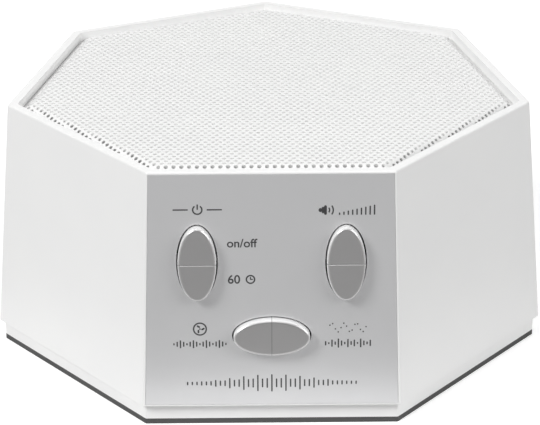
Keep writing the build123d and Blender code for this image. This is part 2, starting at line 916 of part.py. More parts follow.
with BuildPart() as dust_cap:
    with BuildSketch(speaker_section):
        with BuildLine():
            cap_outside = TangentArc((0, cap_top), (cap_radius, cap_foot), tangent=(1, 0))
            cap_inside = TangentArc(
                (0, cap_top - cap_thickness),
                (cap_radius - cap_thickness, cap_foot),
                tangent=(1, 0),
            )
            Line(cap_outside @ 0, cap_inside @ 0)
            Line(cap_outside @ 1, cap_inside @ 1)
        make_face()
    revolve(axis=speaker_axis)
dust_cap.part.label = "dust_cap"

with BuildPart() as voice_coil:
    former_foot = winding_foot - former_overlap
    former_top = cone_foot + former_overlap
    ring(former_outer, former_inner, former_foot, former_top - former_foot)
    ring(winding_outer, former_inner, winding_foot, winding_height)
voice_coil.part.label = "voice_coil"

half_roll = roll_thickness / 2
with BuildPart() as speaker_surround:
    with BuildSketch(speaker_section):
        with Locations((roll_centre, flange_top)):
            Circle(roll_radius + half_roll)
            Circle(roll_radius - half_roll, mode=Mode.SUBTRACT)
            Rectangle(
                2 * surround_outer,
                2 * surround_outer,
                align=(Align.CENTER, Align.MAX),
                mode=Mode.SUBTRACT,
            )
        with Locations((roll_centre - roll_radius + half_roll, flange_top)):
            Rectangle(lip_width + half_roll, roll_thickness, align=(Align.MAX, Align.MIN))
        with Locations((roll_centre + roll_radius - half_roll, flange_top)):
            Rectangle(lip_width + half_roll, roll_thickness, align=(Align.MIN, Align.MIN))
    revolve(axis=speaker_axis)
speaker_surround.part.label = "speaker_surround"

spider_outer = shelf_inner + spider_flat
spider_inner = former_outer + cap_glue
wave_start = spider_inner + spider_flat
wave_length = (spider_outer - spider_flat - wave_start) / spider_wave_count

with BuildPart() as speaker_spider:
    with BuildSketch(speaker_section):
        with BuildLine():
            for height in (shelf_top, shelf_top + spider_thickness):
                nodes = [
                    (wave_start + count * wave_length, height)
                    for count in range(spider_wave_count + 1)
                ]
                for count in range(spider_wave_count):
                    sagitta = spider_wave * (-1) ** count
                    SagittaArc(nodes[count], nodes[count + 1], sagitta)
                Line((spider_inner, height), nodes[0])
                Line(nodes[-1], (spider_outer, height))
            for end in (spider_inner, spider_outer):
                Line((end, shelf_top), (end, shelf_top + spider_thickness))
        make_face()
    revolve(axis=speaker_axis)
speaker_spider.part.label = "speaker_spider"

# ---------------------------------------------------------------------------------------------
# Speaker terminals, and the two leads from them to the main board
# ---------------------------------------------------------------------------------------------

with BuildPart() as speaker_tag_board:
    block(
        (tag_x, speaker_y),
        (tag_thickness, tag_width, tag_height),
        flange_underside - tag_height,
    )
speaker_tag_board.part.label = "speaker_tag_board"

with BuildPart() as speaker_tabs:
    for side in (-1, 1):
        block(
            (tab_x, speaker_y + side * tab_spacing / 2),
            (tab_thickness, tab_width, tab_height),
            tab_foot,
        )
speaker_tabs.part.label = "speaker_tabs"

with BuildPart() as speaker_header:
    block(lead_header_place, lead_header_size, main_board_top)
speaker_header.part.label = "speaker_header"


def speaker_lead(name, side):
    """One insulated wire from a speaker tab down to the header on the main board."""
    header_x, header_y = lead_header_place
    header_top = main_board_top + lead_header_size[2]
    tab_y = speaker_y + side * tab_spacing / 2
    pin_y = header_y + side * lead_pitch / 2
    points = [
        (tab_x, tab_y, tab_foot),
        (tab_x - lead_swing, tab_y, tab_foot - lead_drop),
        (header_x, pin_y, header_top + lead_drop),
        (header_x, pin_y, header_top),
    ]
    with BuildPart() as lead:
        with BuildLine() as route:
            FilletPolyline(*points, radius=bend_radii(points))
        with BuildSketch(Plane(route.line @ 0, z_dir=route.line % 0)):
            Circle(lead_radius)
        sweep(path=route.line)
    lead.part.label = name
    return lead


speaker_leads = [speaker_lead("speaker_lead_red", 1), speaker_lead("speaker_lead_black", -1)]

# ---------------------------------------------------------------------------------------------
# Main board and what stands on it
# ---------------------------------------------------------------------------------------------

with BuildPart() as main_board:
    prism(main_board_apothem, main_board_height, main_board_top, main_board_corner_radius)
    with BuildSketch(Plane.XY.offset(main_board_height)):
        with Locations((0, main_board_front)):
            Rectangle(2 * skirt_width, skirt_width, align=(Align.CENTER, Align.MAX))
        with Locations(*post_points):
            Circle(post_radius + post_notch_gap)
        with Locations(*main_screws):
            Circle(board_screw_radius + hole_fit)
    extrude(amount=board_thickness, mode=Mode.SUBTRACT)
main_board.part.label = "main_board"

with BuildPart() as main_board_screws:
    for x, y in main_screws:
        screw(
            Plane((x, y, main_board_top)),
            board_screw_radius,
            board_screw_length,
            board_head_radius,
            board_head_height,
        )
main_board_screws.part.label = "main_board_screws"

main_header_y = main_board_front + main_header_setback
with BuildPart() as main_board_header:
    block((0, main_header_y), (header_width, header_depth, main_header_height), main_board_top)
main_board_header.part.label = "main_board_header"

ribbon_start = control_back_face.from_local_coords((0, header_up, control_header_height))
ribbon_end = Vector(0, main_header_y, main_board_top + main_header_height)
ribbon_turn = ribbon_start + control_back_face.z_dir * ribbon_rise
ribbon_points = [
    (0, ribbon_start.Y, ribbon_start.Z),
    (0, ribbon_turn.Y, ribbon_turn.Z),
    (0, ribbon_end.Y, ribbon_end.Z + ribbon_rise),
    (0, ribbon_end.Y, ribbon_end.Z),
]
with BuildPart() as ribbon_cable:
    with BuildLine() as ribbon_route:
        FilletPolyline(*ribbon_points, radius=bend_radii(ribbon_points))
    with BuildSketch(
        Plane(ribbon_route.line @ 0, x_dir=(1, 0, 0), z_dir=ribbon_route.line % 0)
    ):
        Rectangle(ribbon_width, ribbon_thickness)
    sweep(path=ribbon_route.line)
ribbon_cable.part.label = "ribbon_cable"

with BuildPart() as processor:
    block(processor_place, (processor_side, processor_side, processor_height), main_board_top)
    with BuildSketch(Plane.XY.offset(main_board_top)):
        with Locations(processor_place):
            with GridLocations(processor_leg_pitch, processor_side, processor_leg_count, 2):
                Rectangle(leg_width, leg_length * 2)
            with GridLocations(processor_side, processor_leg_pitch, 2, processor_leg_count):
                Rectangle(leg_length * 2, leg_width)
    extrude(amount=leg_thickness)
processor.part.label = "processor"

with BuildPart() as amplifier:
    block(amplifier_place, amplifier_size, main_board_top)
    with BuildSketch(Plane.XY.offset(main_board_top)):
        with Locations(amplifier_place):
            with GridLocations(amplifier_leg_pitch, amplifier_size[1], amplifier_leg_count, 2):
                Rectangle(leg_width, leg_length * 2)
    extrude(amount=leg_thickness)
amplifier.part.label = "amplifier"

with BuildPart() as capacitors:
    for place, radius, height in capacitor_sizes:
        disc(radius, main_board_top, height, [place])
    top_edges = capacitors.faces().filter_by(Axis.Z).filter_by(
        lambda face: face.center().Z > main_board_top + can_edge_radius
    ).edges()
    fillet(top_edges, can_edge_radius)
capacitors.part.label = "capacitors"

with BuildPart() as inductor:
    block(inductor_place, inductor_size, main_board_top)
    fillet(inductor.edges().filter_by(Axis.Z), inductor_corner_radius)
inductor.part.label = "inductor"

crystal_width, crystal_depth, crystal_height = crystal_size
with BuildPart() as crystal:
    with BuildSketch(Plane.XY.offset(main_board_top)):
        with Locations(crystal_place):
            SlotOverall(crystal_width, crystal_depth)
    extrude(amount=crystal_height)
crystal.part.label = "crystal"

with BuildPart() as chip_parts:
    with BuildSketch(Plane.XY.offset(main_board_top)):
        with Locations(main_chip_place):
            with GridLocations(*main_chip_grid):
                Rectangle(chip_width, chip_depth)
    extrude(amount=chip_height)
chip_parts.part.label = "chip_parts"

# ---------------------------------------------------------------------------------------------
# Sockets: power inlet and audio outlet
# ---------------------------------------------------------------------------------------------


def socket(name, across, body_width, nose_radius, bore_radius, bore_depth):
    """A moulded socket: a block on the main board with a round nose and a blind bore."""
    centre = ((0, 0),)
    with BuildPart() as body:
        with BuildSketch(socket_plane(across, socket_back)):
            Rectangle(body_width, socket_height)
        extrude(amount=socket_length)
        pegs(socket_plane(across, socket_front), nose_radius, nose_end - socket_front, centre)
        nose_face = socket_plane(across, nose_end)
        pegs(nose_face, bore_radius, -bore_depth, centre, mode=Mode.SUBTRACT)
    body.part.label = name
    return body


power_socket = socket(
    "power_socket",
    -socket_spacing / 2,
    power_body_width,
    power_nose_radius,
    power_bore_radius,
    power_bore_depth,
)
audio_socket = socket(
    "audio_socket",
    socket_spacing / 2,
    audio_body_width,
    audio_nose_radius,
    audio_bore_radius,
    audio_bore_depth,
)

with BuildPart() as power_socket_pin:
    pin_foot = socket_plane(-socket_spacing / 2, nose_end - power_bore_depth)
    pegs(pin_foot, power_pin_radius, power_bore_depth - power_pin_setback, ((0, 0),))
    tip = power_socket_pin.edges().sort_by(Axis(pin_foot.origin, pin_foot.z_dir))[-1]
    fillet(tip, power_pin_tip_radius)
power_socket_pin.part.label = "power_socket_pin"

plate_width, plate_height = contact_plate
with BuildPart() as socket_contacts:
    for across in (-socket_spacing / 2, socket_spacing / 2):
        with BuildSketch(socket_plane(across, socket_back)):
            Rectangle(plate_width, plate_height)
            Rectangle(
                contact_leg_width, socket_height / 2, align=(Align.CENTER, Align.MAX)
            )
        extrude(amount=-contact_thickness)
socket_contacts.part.label = "socket_contacts"

# ---------------------------------------------------------------------------------------------

pieces = [
    housing,
    grille,
    grille_cloth,
    front_fascia,
    *rockers,
    *dome_pads,
    control_board,
    control_board_screws,
    control_board_header,
    control_board_chips,
    base_cover,
    base_screws,
    foot_pad,
    speaker_gasket,
    speaker_frame,
    speaker_screws,
    speaker_top_plate,
    speaker_magnet,
    speaker_yoke,
    speaker_cone,
    dust_cap,
    voice_coil,
    speaker_surround,
    speaker_spider,
    speaker_tag_board,
    speaker_tabs,
    speaker_header,
    *speaker_leads,
    main_board,
    main_board_screws,
    main_board_header,
    ribbon_cable,
    processor,
    amplifier,
    capacitors,
    inductor,
    crystal,
    chip_parts,
    power_socket,
    audio_socket,
    power_socket_pin,
    socket_contacts,
]
for piece in pieces:
    export_step(piece.part, f"parts/{piece.part.label}.step")
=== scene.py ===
import json
from math import atan2, cos, pi, radians, sin, tan

import bpy
from mathutils import Matrix, Vector


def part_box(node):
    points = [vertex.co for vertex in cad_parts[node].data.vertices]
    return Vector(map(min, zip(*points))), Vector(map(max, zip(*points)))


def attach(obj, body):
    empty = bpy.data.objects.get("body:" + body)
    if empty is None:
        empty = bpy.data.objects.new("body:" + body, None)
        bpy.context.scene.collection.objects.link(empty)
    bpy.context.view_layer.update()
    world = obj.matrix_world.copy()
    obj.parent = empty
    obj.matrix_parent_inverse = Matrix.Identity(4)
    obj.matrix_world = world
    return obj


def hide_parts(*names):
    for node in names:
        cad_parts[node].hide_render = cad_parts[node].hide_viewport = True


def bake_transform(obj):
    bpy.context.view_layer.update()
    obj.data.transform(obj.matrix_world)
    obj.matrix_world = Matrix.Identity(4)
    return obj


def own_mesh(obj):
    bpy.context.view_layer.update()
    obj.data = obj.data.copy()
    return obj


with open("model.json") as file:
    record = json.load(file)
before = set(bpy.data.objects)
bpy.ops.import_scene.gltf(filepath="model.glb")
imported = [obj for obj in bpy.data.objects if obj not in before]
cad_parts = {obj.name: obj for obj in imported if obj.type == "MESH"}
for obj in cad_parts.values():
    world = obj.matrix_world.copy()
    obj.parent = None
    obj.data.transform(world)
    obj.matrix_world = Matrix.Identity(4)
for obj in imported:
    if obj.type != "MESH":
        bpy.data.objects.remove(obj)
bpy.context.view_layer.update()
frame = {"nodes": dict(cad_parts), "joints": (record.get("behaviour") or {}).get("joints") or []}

mm = 0.001

# ---------------------------------------------------------------------------------------------
# Housing
# One white ABS moulding with leaning walls, a flat rim round the grille and a deck for the
# speaker. It came out of a tool with a fine spark-eroded grain, so it is satin, not glossy.
# ---------------------------------------------------------------------------------------------


def paint(red, green, blue):
    """A colour given as it looks on a screen, from 0 to 255, in a shader's linear values."""
    levels = [level / 255 for level in (red, green, blue)]
    linear = [((level + 0.055) / 1.055) ** 2.4 if level > 0.04045 else level / 12.92 for level in levels]
    return (*linear, 1.0)


class Field:
    """A value that varies over a surface. Sums, products and tests of it become Math nodes."""

    def __init__(self, finish, socket):
        self.finish = finish
        self.socket = socket

    def __add__(self, other):
        return self.finish.maths("ADD", self, other)

    def __sub__(self, other):
        return self.finish.maths("SUBTRACT", self, other)

    def __rsub__(self, other):
        return self.finish.maths("SUBTRACT", other, self)

    def __mul__(self, other):
        return self.finish.maths("MULTIPLY", self, other)

    def __gt__(self, other):
        return self.finish.maths("GREATER_THAN", self, other)

    def __lt__(self, other):
        return self.finish.maths("LESS_THAN", self, other)


class Finish:
    """A surface finish: one Principled shader, and the nodes that vary it over the surface."""

    def __init__(self, name, constants):
        self.material = bpy.data.materials.new(name)
        self.material.use_nodes = True
        self.tree = self.material.node_tree
        self.shader = self.tree.nodes["Principled BSDF"]
        for socket, value in constants.items():
            self.shader.inputs[socket].default_value = value

    def feed(self, socket, value):
        """Gives a socket a field or a plain value."""
        if isinstance(value, Field):
            self.tree.links.new(value.socket, socket)
        else:
            socket.default_value = value

    def node(self, kind, settings=None, inputs=None, output=0):
        """Adds a node of a type, sets it up, and feeds its sockets."""
        node = self.tree.nodes.new(kind)
        for name, value in (settings or {}).items():
            setattr(node, name, value)
        for socket, value in (inputs or {}).items():
            self.feed(node.inputs[socket], value)
        return Field(self, node.outputs[output])

    def vary(self, socket, value):
        """Lets one of the shader's own inputs vary over the surface."""
        self.feed(self.shader.inputs[socket], value)

    def maths(self, operation, *values, clamp=False):
        """A Math node, held between 0 and 1 if asked to."""
        settings = {"operation": operation, "use_clamp": clamp}
        return self.node("ShaderNodeMath", settings, dict(enumerate(values)))

    def place(self):
        """The surface point's own place on the object."""
        return self.node("ShaderNodeTexCoord", output="Object")

    def along(self, axis):
        """How far along x (0), y (1) or z (2) the surface point lies."""
        return self.node("ShaderNodeSeparateXYZ", None, {"Vector": self.place()}, output=axis)

    def reach(self, centre):
        """How far the surface point lies from an upright axis through a place."""
        across = self.along(0) - centre.x
        deep = self.along(1) - centre.y
        return self.maths("SQRT", across * across + deep * deep)

    def off(self, axis, middle):
        """How far to either side of a place on an axis the surface point lies."""
        return self.maths("ABSOLUTE", self.along(axis) - middle)

    def dot(self, field, direction):
        """How far a vector field reaches along a direction."""
        inputs = {0: field, 1: tuple(direction)}
        return self.node("ShaderNodeVectorMath", {"operation": "DOT_PRODUCT"}, inputs, output="Value")

    def facing(self, direction):
        """How squarely the surface faces a direction, from -1 to 1."""
        return self.dot(self.node("ShaderNodeNewGeometry", output="Normal"), direction)

    def waves(self, distance, pitch):
        """Smooth waves from 0 to 1, one to each pitch of a distance."""
        return self.maths("SINE", distance * (2 * pi / pitch)) * 0.5 + 0.5

    def cells(self, size):
        """Distance from the nearest of many scattered points, 0 to about 1."""
        inputs = {"Vector": self.place(), "Scale": 1 / size}
        return self.node("ShaderNodeTexVoronoi", None, inputs, output="Distance")

    def noise(self, size, detail=2.0):
        """Soft random patches, about as wide as size, in metres."""
        inputs = {"Vector": self.place(), "Scale": 1 / size, "Detail": detail}
        return self.node("ShaderNodeTexNoise", None, inputs)

    def blend(self, share, first, second):
        """The first colour where share is 0, and the second where it is 1."""
        inputs = {0: share, 6: first, 7: second}
        return self.node("ShaderNodeMix", {"data_type": "RGBA"}, inputs, output=2)

    def tint(self, share, first, second):
        """Paints the surface with a blend of two colours."""
        self.vary("Base Color", self.blend(share, first, second))

    def emboss(self, height, depth):
        """Raises the surface by a field times depth, in metres."""
        inputs = {"Strength": 1.0, "Distance": depth, "Height": height}
        self.vary("Normal", self.node("ShaderNodeBump", None, inputs))

    def cover(self, *names):
        """Puts the finish on CAD nodes."""
        for name in names:
            for slot in frame["nodes"][name].material_slots:
                slot.material = self.material


def moulded(name, colour, shade, roughness, grain=0.16 * mm, depth=0.004 * mm, sheen=0.5):
    """Moulded plastic: a fine grain, and slow changes of tone and gloss from the flow."""
    finish = Finish(name, {"Specular IOR Level": sheen})
    flow = finish.noise(14 * mm)
    finish.tint(flow, colour, shade)
    finish.vary("Roughness", flow * 0.1 + roughness)
    finish.emboss(finish.noise(grain, 3.0), depth)
    return finish


housing_white = moulded("housing_white", paint(240, 240, 239), paint(236, 236, 236), 0.38)
housing_white.cover("housing", "base_cover")

# ---------------------------------------------------------------------------------------------
# Grille cloth
# A pale acoustic cloth, stretched flat and glued under the perforated sheet. It keeps dust out
# of the speaker, and shows as light grey through the holes.
# ---------------------------------------------------------------------------------------------

side_count = 7
half_side = pi / side_count
cloth_low, cloth_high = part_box("grille_cloth")
cloth_weave = 0.3 * mm


def side_normal(count):
    """The outward direction of one of the seven sides, counted round from the front one."""
    angle = -pi / 2 + count * 2 * half_side
    return Vector((cos(angle), sin(angle), 0))


def side_distance(place):
    """How far out a place lies, towards the side that it is nearest to."""
    return max(place.dot(side_normal(count)) for count in range(side_count))


def pick(piece, kind, wanted, among=False):
    """Selects the vertices, edges or faces whose middle passes a test, in edit mode."""
    bpy.ops.object.mode_set(mode="EDIT")
    bpy.ops.mesh.select_mode(type=kind)
    bpy.ops.object.mode_set(mode="OBJECT")
    source = {"VERT": "vertices", "EDGE": "edges", "FACE": "polygons"}[kind]
    places = [vertex.co.copy() for vertex in piece.data.vertices]
    chosen = []
    for part in getattr(piece.data, source):
        corners = [part.index] if kind == "VERT" else part.vertices
        middle = sum((places[corner] for corner in corners), Vector()) / len(corners)
        if (part.select or not among) and wanted(middle):
            chosen.append(part.index)
    bpy.ops.object.mode_set(mode="EDIT")
    bpy.ops.mesh.select_all(action="DESELECT")
    bpy.ops.object.mode_set(mode="OBJECT")
    for index in chosen:
        getattr(piece.data, source)[index].select = True
    bpy.ops.object.mode_set(mode="EDIT")


def new_piece():
    """The piece that was just added, alone in edit mode with everything selected."""
    piece = bpy.context.object
    bpy.ops.object.mode_set(mode="EDIT")
    bpy.ops.mesh.select_all(action="SELECT")
    return piece


def modify(piece, kind, **settings):
    """Adds a modifier and applies it."""
    bpy.ops.object.mode_set(mode="OBJECT")
    modifier = piece.modifiers.new(kind.lower(), kind)
    for name, value in settings.items():
        setattr(modifier, name, value)
    bpy.ops.object.modifier_apply(modifier=modifier.name)


def finish_piece(piece, name, finish, body="chassis", smooth=30):
    """Names and smooths a piece, and gives it its finish and the body that it moves with, if any."""
    bpy.ops.object.mode_set(mode="OBJECT")
    bpy.ops.object.transform_apply(location=True, rotation=True, scale=True)
    bpy.ops.object.shade_smooth_by_angle(angle=radians(smooth))
    piece.name = name
    piece.data.materials.clear()
    piece.data.materials.append(finish.material)
    if body:
        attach(piece, body)


cloth_apothem = -cloth_low.y
cloth_thickness = cloth_high.z - cloth_low.z
bpy.ops.object.select_all(action="DESELECT")
bpy.ops.mesh.primitive_circle_add(
    vertices=side_count,
    radius=cloth_apothem / cos(half_side),
    fill_type="NGON",
    location=(0, 0, cloth_high.z),
)
cloth = new_piece()
bpy.ops.mesh.inset(thickness=cloth_apothem / 3)
bpy.ops.mesh.inset(thickness=cloth_apothem / 3)
bpy.ops.transform.translate(value=(0, 0, -cloth_thickness / 4))
modify(cloth, "SOLIDIFY", thickness=cloth_thickness * 3 / 4, offset=-1.0)

cloth_white = Finish("cloth_white", {"Roughness": 0.85, "Specular IOR Level": 0.2})
cloth_white.tint(cloth_white.noise(cloth_weave), paint(214, 214, 214), paint(228, 228, 228))
finish_piece(cloth, "grille_cloth_panel", cloth_white)
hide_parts("grille_cloth")

# ---------------------------------------------------------------------------------------------
# Grille
# A pan of perforated sheet, painted white. Its round holes stand in staggered rows, and the
# sheet is pressed down round its edge, with a collar that stands on the housing's deck.
# ---------------------------------------------------------------------------------------------

grille_low, grille_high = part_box("grille")
pan_apothem = -grille_low.y
edge_run = 2.6 * mm
edge_drop = 1.65 * mm
bend_radius = 0.8 * mm
sheet_thickness = 0.7 * mm
hole_radius = 0.445 * mm
hole_sides = 8
overshoot = 5
hole_pitch = 1.4668 * mm
row_pitch = 1.2127 * mm
first_row = -43.027 * mm
spare_rows = 4
last_hole = 44.9 * mm
corner_cut = 0.24 * mm

bend_angle = atan2(edge_drop, edge_run)
bend_start = pan_apothem - edge_run - bend_radius * tan(bend_angle / 2)
bend_end = bend_start + bend_radius * bend_angle
blank_apothem = bend_end + (pan_apothem - bend_start - bend_radius * sin(bend_angle)) / cos(bend_angle)
corner_reach = blank_apothem / cos(half_side)
seam_start = bend_start * 1.05


def cut_along(place, normal, clear_outer=False):
    """Cuts what is selected along a plane, and drops what lies beyond it if asked to."""
    bpy.ops.mesh.bisect(
        plane_co=place, plane_no=normal, threshold=hole_radius / 100, clear_outer=clear_outer
    )


# One hole, with sheet round it as wide as a pitch and as deep as a row
bpy.ops.object.select_all(action="DESELECT")
bpy.ops.mesh.primitive_circle_add(vertices=hole_sides, radius=hole_radius)
grille = new_piece()
bpy.ops.mesh.extrude_region_move()
bpy.ops.transform.resize(value=(overshoot, overshoot, 1))
for axis, half in ((0, hole_pitch / 2), (1, row_pitch / 2)):
    for sign in (-1, 1):
        line = Vector((0, 0, 0))
        line[axis] = sign * half
        squeeze = Vector((1, 1, 1))
        squeeze[axis] = 0
        pick(grille, "VERT", lambda place: place.dot(line) > half**2)
        bpy.ops.transform.resize(value=squeeze, center_override=line)
pick(grille, "VERT", lambda place: abs(place.y) < hole_radius / 2 and abs(place.x) > hole_radius * 1.5)
bpy.ops.mesh.dissolve_verts()

# Staggered rows of it over the whole blank
bpy.ops.mesh.select_all(action="SELECT")
bpy.ops.mesh.duplicate_move(TRANSFORM_OT_translate={"value": (hole_pitch / 2, row_pitch, 0)})
columns = int(2 * corner_reach / hole_pitch) + 2
row_pairs = int(2 * corner_reach / row_pitch / 2) + 1
for count, step in ((columns, (hole_pitch, 0, 0)), (row_pairs, (0, 2 * row_pitch, 0))):
    modify(
        grille,
        "ARRAY",
        count=count,
        use_relative_offset=False,
        use_constant_offset=True,
        constant_offset_displace=step,
    )
bpy.ops.object.mode_set(mode="EDIT")
bpy.ops.mesh.select_all(action="SELECT")
bpy.ops.mesh.remove_doubles(threshold=hole_radius / 50)
bpy.ops.transform.translate(
    value=(-(columns // 2) * hole_pitch, first_row - spare_rows * row_pitch, grille_high.z)
)

# The holes stop short of the edge, and the blank is cut to seven sides with blunt corners
pick(grille, "VERT", lambda place: side_distance(place) > last_hole)
bpy.ops.mesh.fill_holes(sides=hole_sides)
for count in range(side_count):
    outward = side_normal(count)
    corner = side_normal(count + 0.5)
    for normal, reach in ((outward, blank_apothem), (corner, corner_reach - corner_cut)):
        bpy.ops.mesh.select_all(action="SELECT")
        cut_along(normal * reach, normal, clear_outer=True)

# Lines for the bend, and for the seams between the seven pressed edges
for count in range(side_count):
    outward = side_normal(count)
    for reach in (bend_start, (bend_start + bend_end) / 2, bend_end):
        bpy.ops.mesh.select_all(action="SELECT")
        cut_along(outward * reach, outward)
for count in range(side_count):
    corner = side_normal(count + 0.5)
    across = side_normal(count + 0.5 + side_count / 4)
    pick(grille, "FACE", lambda place: place.dot(corner) > seam_start)
    cut_along((0, 0, 0), across)
bpy.ops.object.mode_set(mode="OBJECT")
for vertex in grille.data.vertices:
    count = max(range(side_count), key=lambda side: vertex.co.dot(side_normal(side)))
    reach = vertex.co.dot(side_normal(count))
    turn = min(max((reach - bend_start) / bend_radius, 0), bend_angle)
    slope = max(reach - bend_end, 0)
    if turn > 0:
        inwards = reach - bend_start - bend_radius * sin(turn) - slope * cos(bend_angle)
        vertex.co -= side_normal(count) * inwards
        vertex.co.z -= bend_radius * (1 - cos(turn)) + slope * sin(bend_angle)

# The collar, and the sheet's thickness
bpy.ops.object.mode_set(mode="EDIT")
bpy.ops.mesh.select_mode(type="EDGE")
bpy.ops.mesh.select_all(action="DESELECT")
bpy.ops.mesh.select_non_manifold(
    extend=False, use_wire=False, use_multi_face=False, use_non_contiguous=False, use_verts=False
)
pick(grille, "EDGE", lambda place: side_distance(place) > pan_apothem - edge_run / 2, among=True)
bpy.ops.mesh.extrude_region_move()
bpy.ops.transform.resize(value=(1, 1, 0), center_override=(0, 0, grille_low.z))
modify(grille, "SOLIDIFY", thickness=sheet_thickness, offset=-1.0)

grille_white = moulded("grille_white", paint(237, 237, 236), paint(232, 232, 232), 0.38)
finish_piece(grille, "grille_sheet", grille_white, smooth=50)
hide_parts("grille")

# ---------------------------------------------------------------------------------------------
# Front fascia
# A thin plastic plate that drops into a pocket of the front face and is held by melted pins.
# It is sprayed with a silver-grey satin paint, whose fine flakes make it glint like soft metal.
# ---------------------------------------------------------------------------------------------

fascia_grey = Finish("fascia_grey", {"Metallic": 0.5, "Specular IOR Level": 0.4})
spray_mist = fascia_grey.noise(9 * mm)
spray_flakes = fascia_grey.noise(0.1 * mm)
spray_tone = spray_mist * 0.6 + spray_flakes * 0.4
fascia_grey.tint(spray_tone, paint(220, 220, 221), paint(215, 215, 216))
fascia_grey.vary("Roughness", spray_flakes * 0.12 + 0.26)
fascia_grey.emboss(spray_flakes, 0.002 * mm)
fascia_grey.cover("front_fascia")

# ---------------------------------------------------------------------------------------------
# Rocker keys
# Three oval keys with a crease across the middle, each on two small pivots behind the fascia.
# They are moulded in one piece and sprayed a darker, smoother grey than the fascia. A highlight
# is painted on their rounded shoulders, and shade is painted in the crease.
# ---------------------------------------------------------------------------------------------

joints = {joint["name"]: joint for joint in frame["joints"]}
face_up = Vector(joints["sound_rocker_tilt"]["axis"])
face_out = Vector((1, 0, 0)).cross(face_up)
crease_half_width = 0.07 * mm
highlight_gain = 1.7
crease_shade_share = 0.6


def key_paint(name, node, joint):
    """Darker satin paint, less metallic with a painted highlight where the key curves, and painted shade in
    the crease.
    """
    finish = Finish(name, {"Specular IOR Level": 0.4})
    pivot = Vector(joint["pos_m"])
    long_way = Vector(joint["axis"]).cross(face_out)
    # Painted highlight: the further a place turns from facing out, the lighter it is painted, up to near
    # white on the shoulders
    edge = finish.maths("MULTIPLY", 1 - finish.facing(face_out), highlight_gain, clamp=True)
    from_crease = finish.dot(finish.place(), long_way) - pivot.dot(long_way)
    crease = finish.maths("ABSOLUTE", from_crease) < crease_half_width
    mist = finish.noise(5 * mm)
    flakes = finish.noise(0.08 * mm)
    flat = finish.blend(mist * 0.6 + flakes * 0.4, paint(185, 184, 184), paint(179, 178, 178))
    painted = finish.blend(edge, flat, paint(236, 236, 236))
    # Painted shade: a thin line along the middle of the crease is painted darker grey
    crease_shade = crease * crease_shade_share
    finish.tint(crease_shade, painted, paint(112, 111, 111))
    finish.vary("Metallic", 0.7 - edge * 0.6)
    finish.vary("Roughness", flakes * 0.06 + 0.28)
    finish.emboss(flakes, 0.0004 * mm)
    finish.cover(node)


for key in ("power", "volume", "sound"):
    key_paint(f"{key}_key_grey", f"{key}_rocker", joints[f"{key}_rocker_tilt"])

# ---------------------------------------------------------------------------------------------
# Fascia print
# Plain symbols in dark grey ink, screen printed on the fascia: on and off, a timer, loudness,
# a fan, a hiss, and a row of level bars at the foot. Each sign is a skin of ink a hair thick.
# ---------------------------------------------------------------------------------------------

housing_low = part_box("housing")[0]
face_place = Matrix((Vector((1, 0, 0)), face_up, face_out)).transposed().to_4x4()
face_place.translation = Vector((0, housing_low.y, housing_low.z))
ink_thickness = 0.02 * mm
stroke = 0.27 * mm
capital_share = 0.7
boldness = 0.03 * mm

print_ink = Finish("print_ink", {"Specular IOR Level": 0.3})
print_ink.tint(print_ink.noise(0.15 * mm), paint(60, 60, 61), paint(74, 74, 75))
print_ink.vary("Roughness", print_ink.noise(0.1 * mm) * 0.2 + 0.5)


def ink_bar(across, up, width, height, turn=0.0):
    """A bar with round ends, width across and height up before its turn."""
    thin = min(width, height)
    bpy.ops.mesh.primitive_circle_add(vertices=14, radius=thin / 2, fill_type="NGON")
    piece = new_piece()
    pick(piece, "VERT", lambda place: (place.y if height > width else place.x) > 0)
    stretch = (0, height - thin, 0) if height > width else (width - thin, 0, 0)
    bpy.ops.transform.translate(value=stretch)
    bpy.ops.mesh.select_all(action="SELECT")
    bpy.ops.transform.translate(value=[-length / 2 for length in stretch])
    bpy.ops.transform.rotate(value=-turn, orient_axis="Z", center_override=(0, 0, 0))
    bpy.ops.transform.translate(value=(across, up, 0))
    bpy.ops.object.mode_set(mode="OBJECT")
    return piece


def ink_ring(across, up, radius, shown=lambda angle: True):
    """A ring one stroke wide, or the stretches of it whose angle passes a test."""
    bpy.ops.mesh.primitive_circle_add(vertices=40, radius=radius, fill_type="NGON")
    piece = new_piece()
    bpy.ops.mesh.inset(thickness=stroke)
    bpy.ops.mesh.delete(type="FACE")
    pick(piece, "FACE", lambda place: not shown(atan2(place.y, place.x)))
    bpy.ops.mesh.delete(type="FACE")
    bpy.ops.mesh.select_all(action="SELECT")
    bpy.ops.transform.translate(value=(across, up, 0))
    bpy.ops.object.mode_set(mode="OBJECT")
    return piece


def ink_text(words, across, up, height):
    """Plain characters that start at a place, with capitals of a height."""
    bpy.ops.object.text_add(location=(across, up, 0))
    piece = bpy.context.object
    piece.data.body = words
    piece.data.size = height / capital_share
    piece.data.offset = boldness
    bpy.ops.object.convert(target="MESH")
    bpy.ops.object.transform_apply(location=True, rotation=True, scale=True)
    return piece


def lay_flat(name, pieces, place, thickness, finish):
    """Joins flat pieces to one, gives it its thickness and puts it on a surface."""
    bpy.ops.object.select_all(action="DESELECT")
    for piece in pieces:
        piece.select_set(True)
    bpy.context.view_layer.objects.active = pieces[0]
    if len(pieces) > 1:
        bpy.ops.object.join()
    sheet = new_piece()
    bpy.ops.mesh.remove_doubles(threshold=stroke / 50)
    bpy.ops.mesh.normals_make_consistent(inside=False)
    rooted = thickness * 1.25  # a fifth of it lies in the surface
    modify(sheet, "SOLIDIFY", thickness=rooted, offset=0.6)
    sheet.matrix_world = place
    finish_piece(sheet, name, finish)


def print_sign(name, pieces):
    """Prints a sign on the fascia."""
    lay_flat(name, pieces, face_place, ink_thickness, print_ink)


def bar_row(across, up, pitch, heights, centred=True):
    """A row of upright bars, on one line or centred on it."""
    row = []
    for step, height in enumerate(heights):
        middle = up if centred else up + height / 2
        row.append(ink_bar(across + step * pitch, middle, stroke, height))
    return row


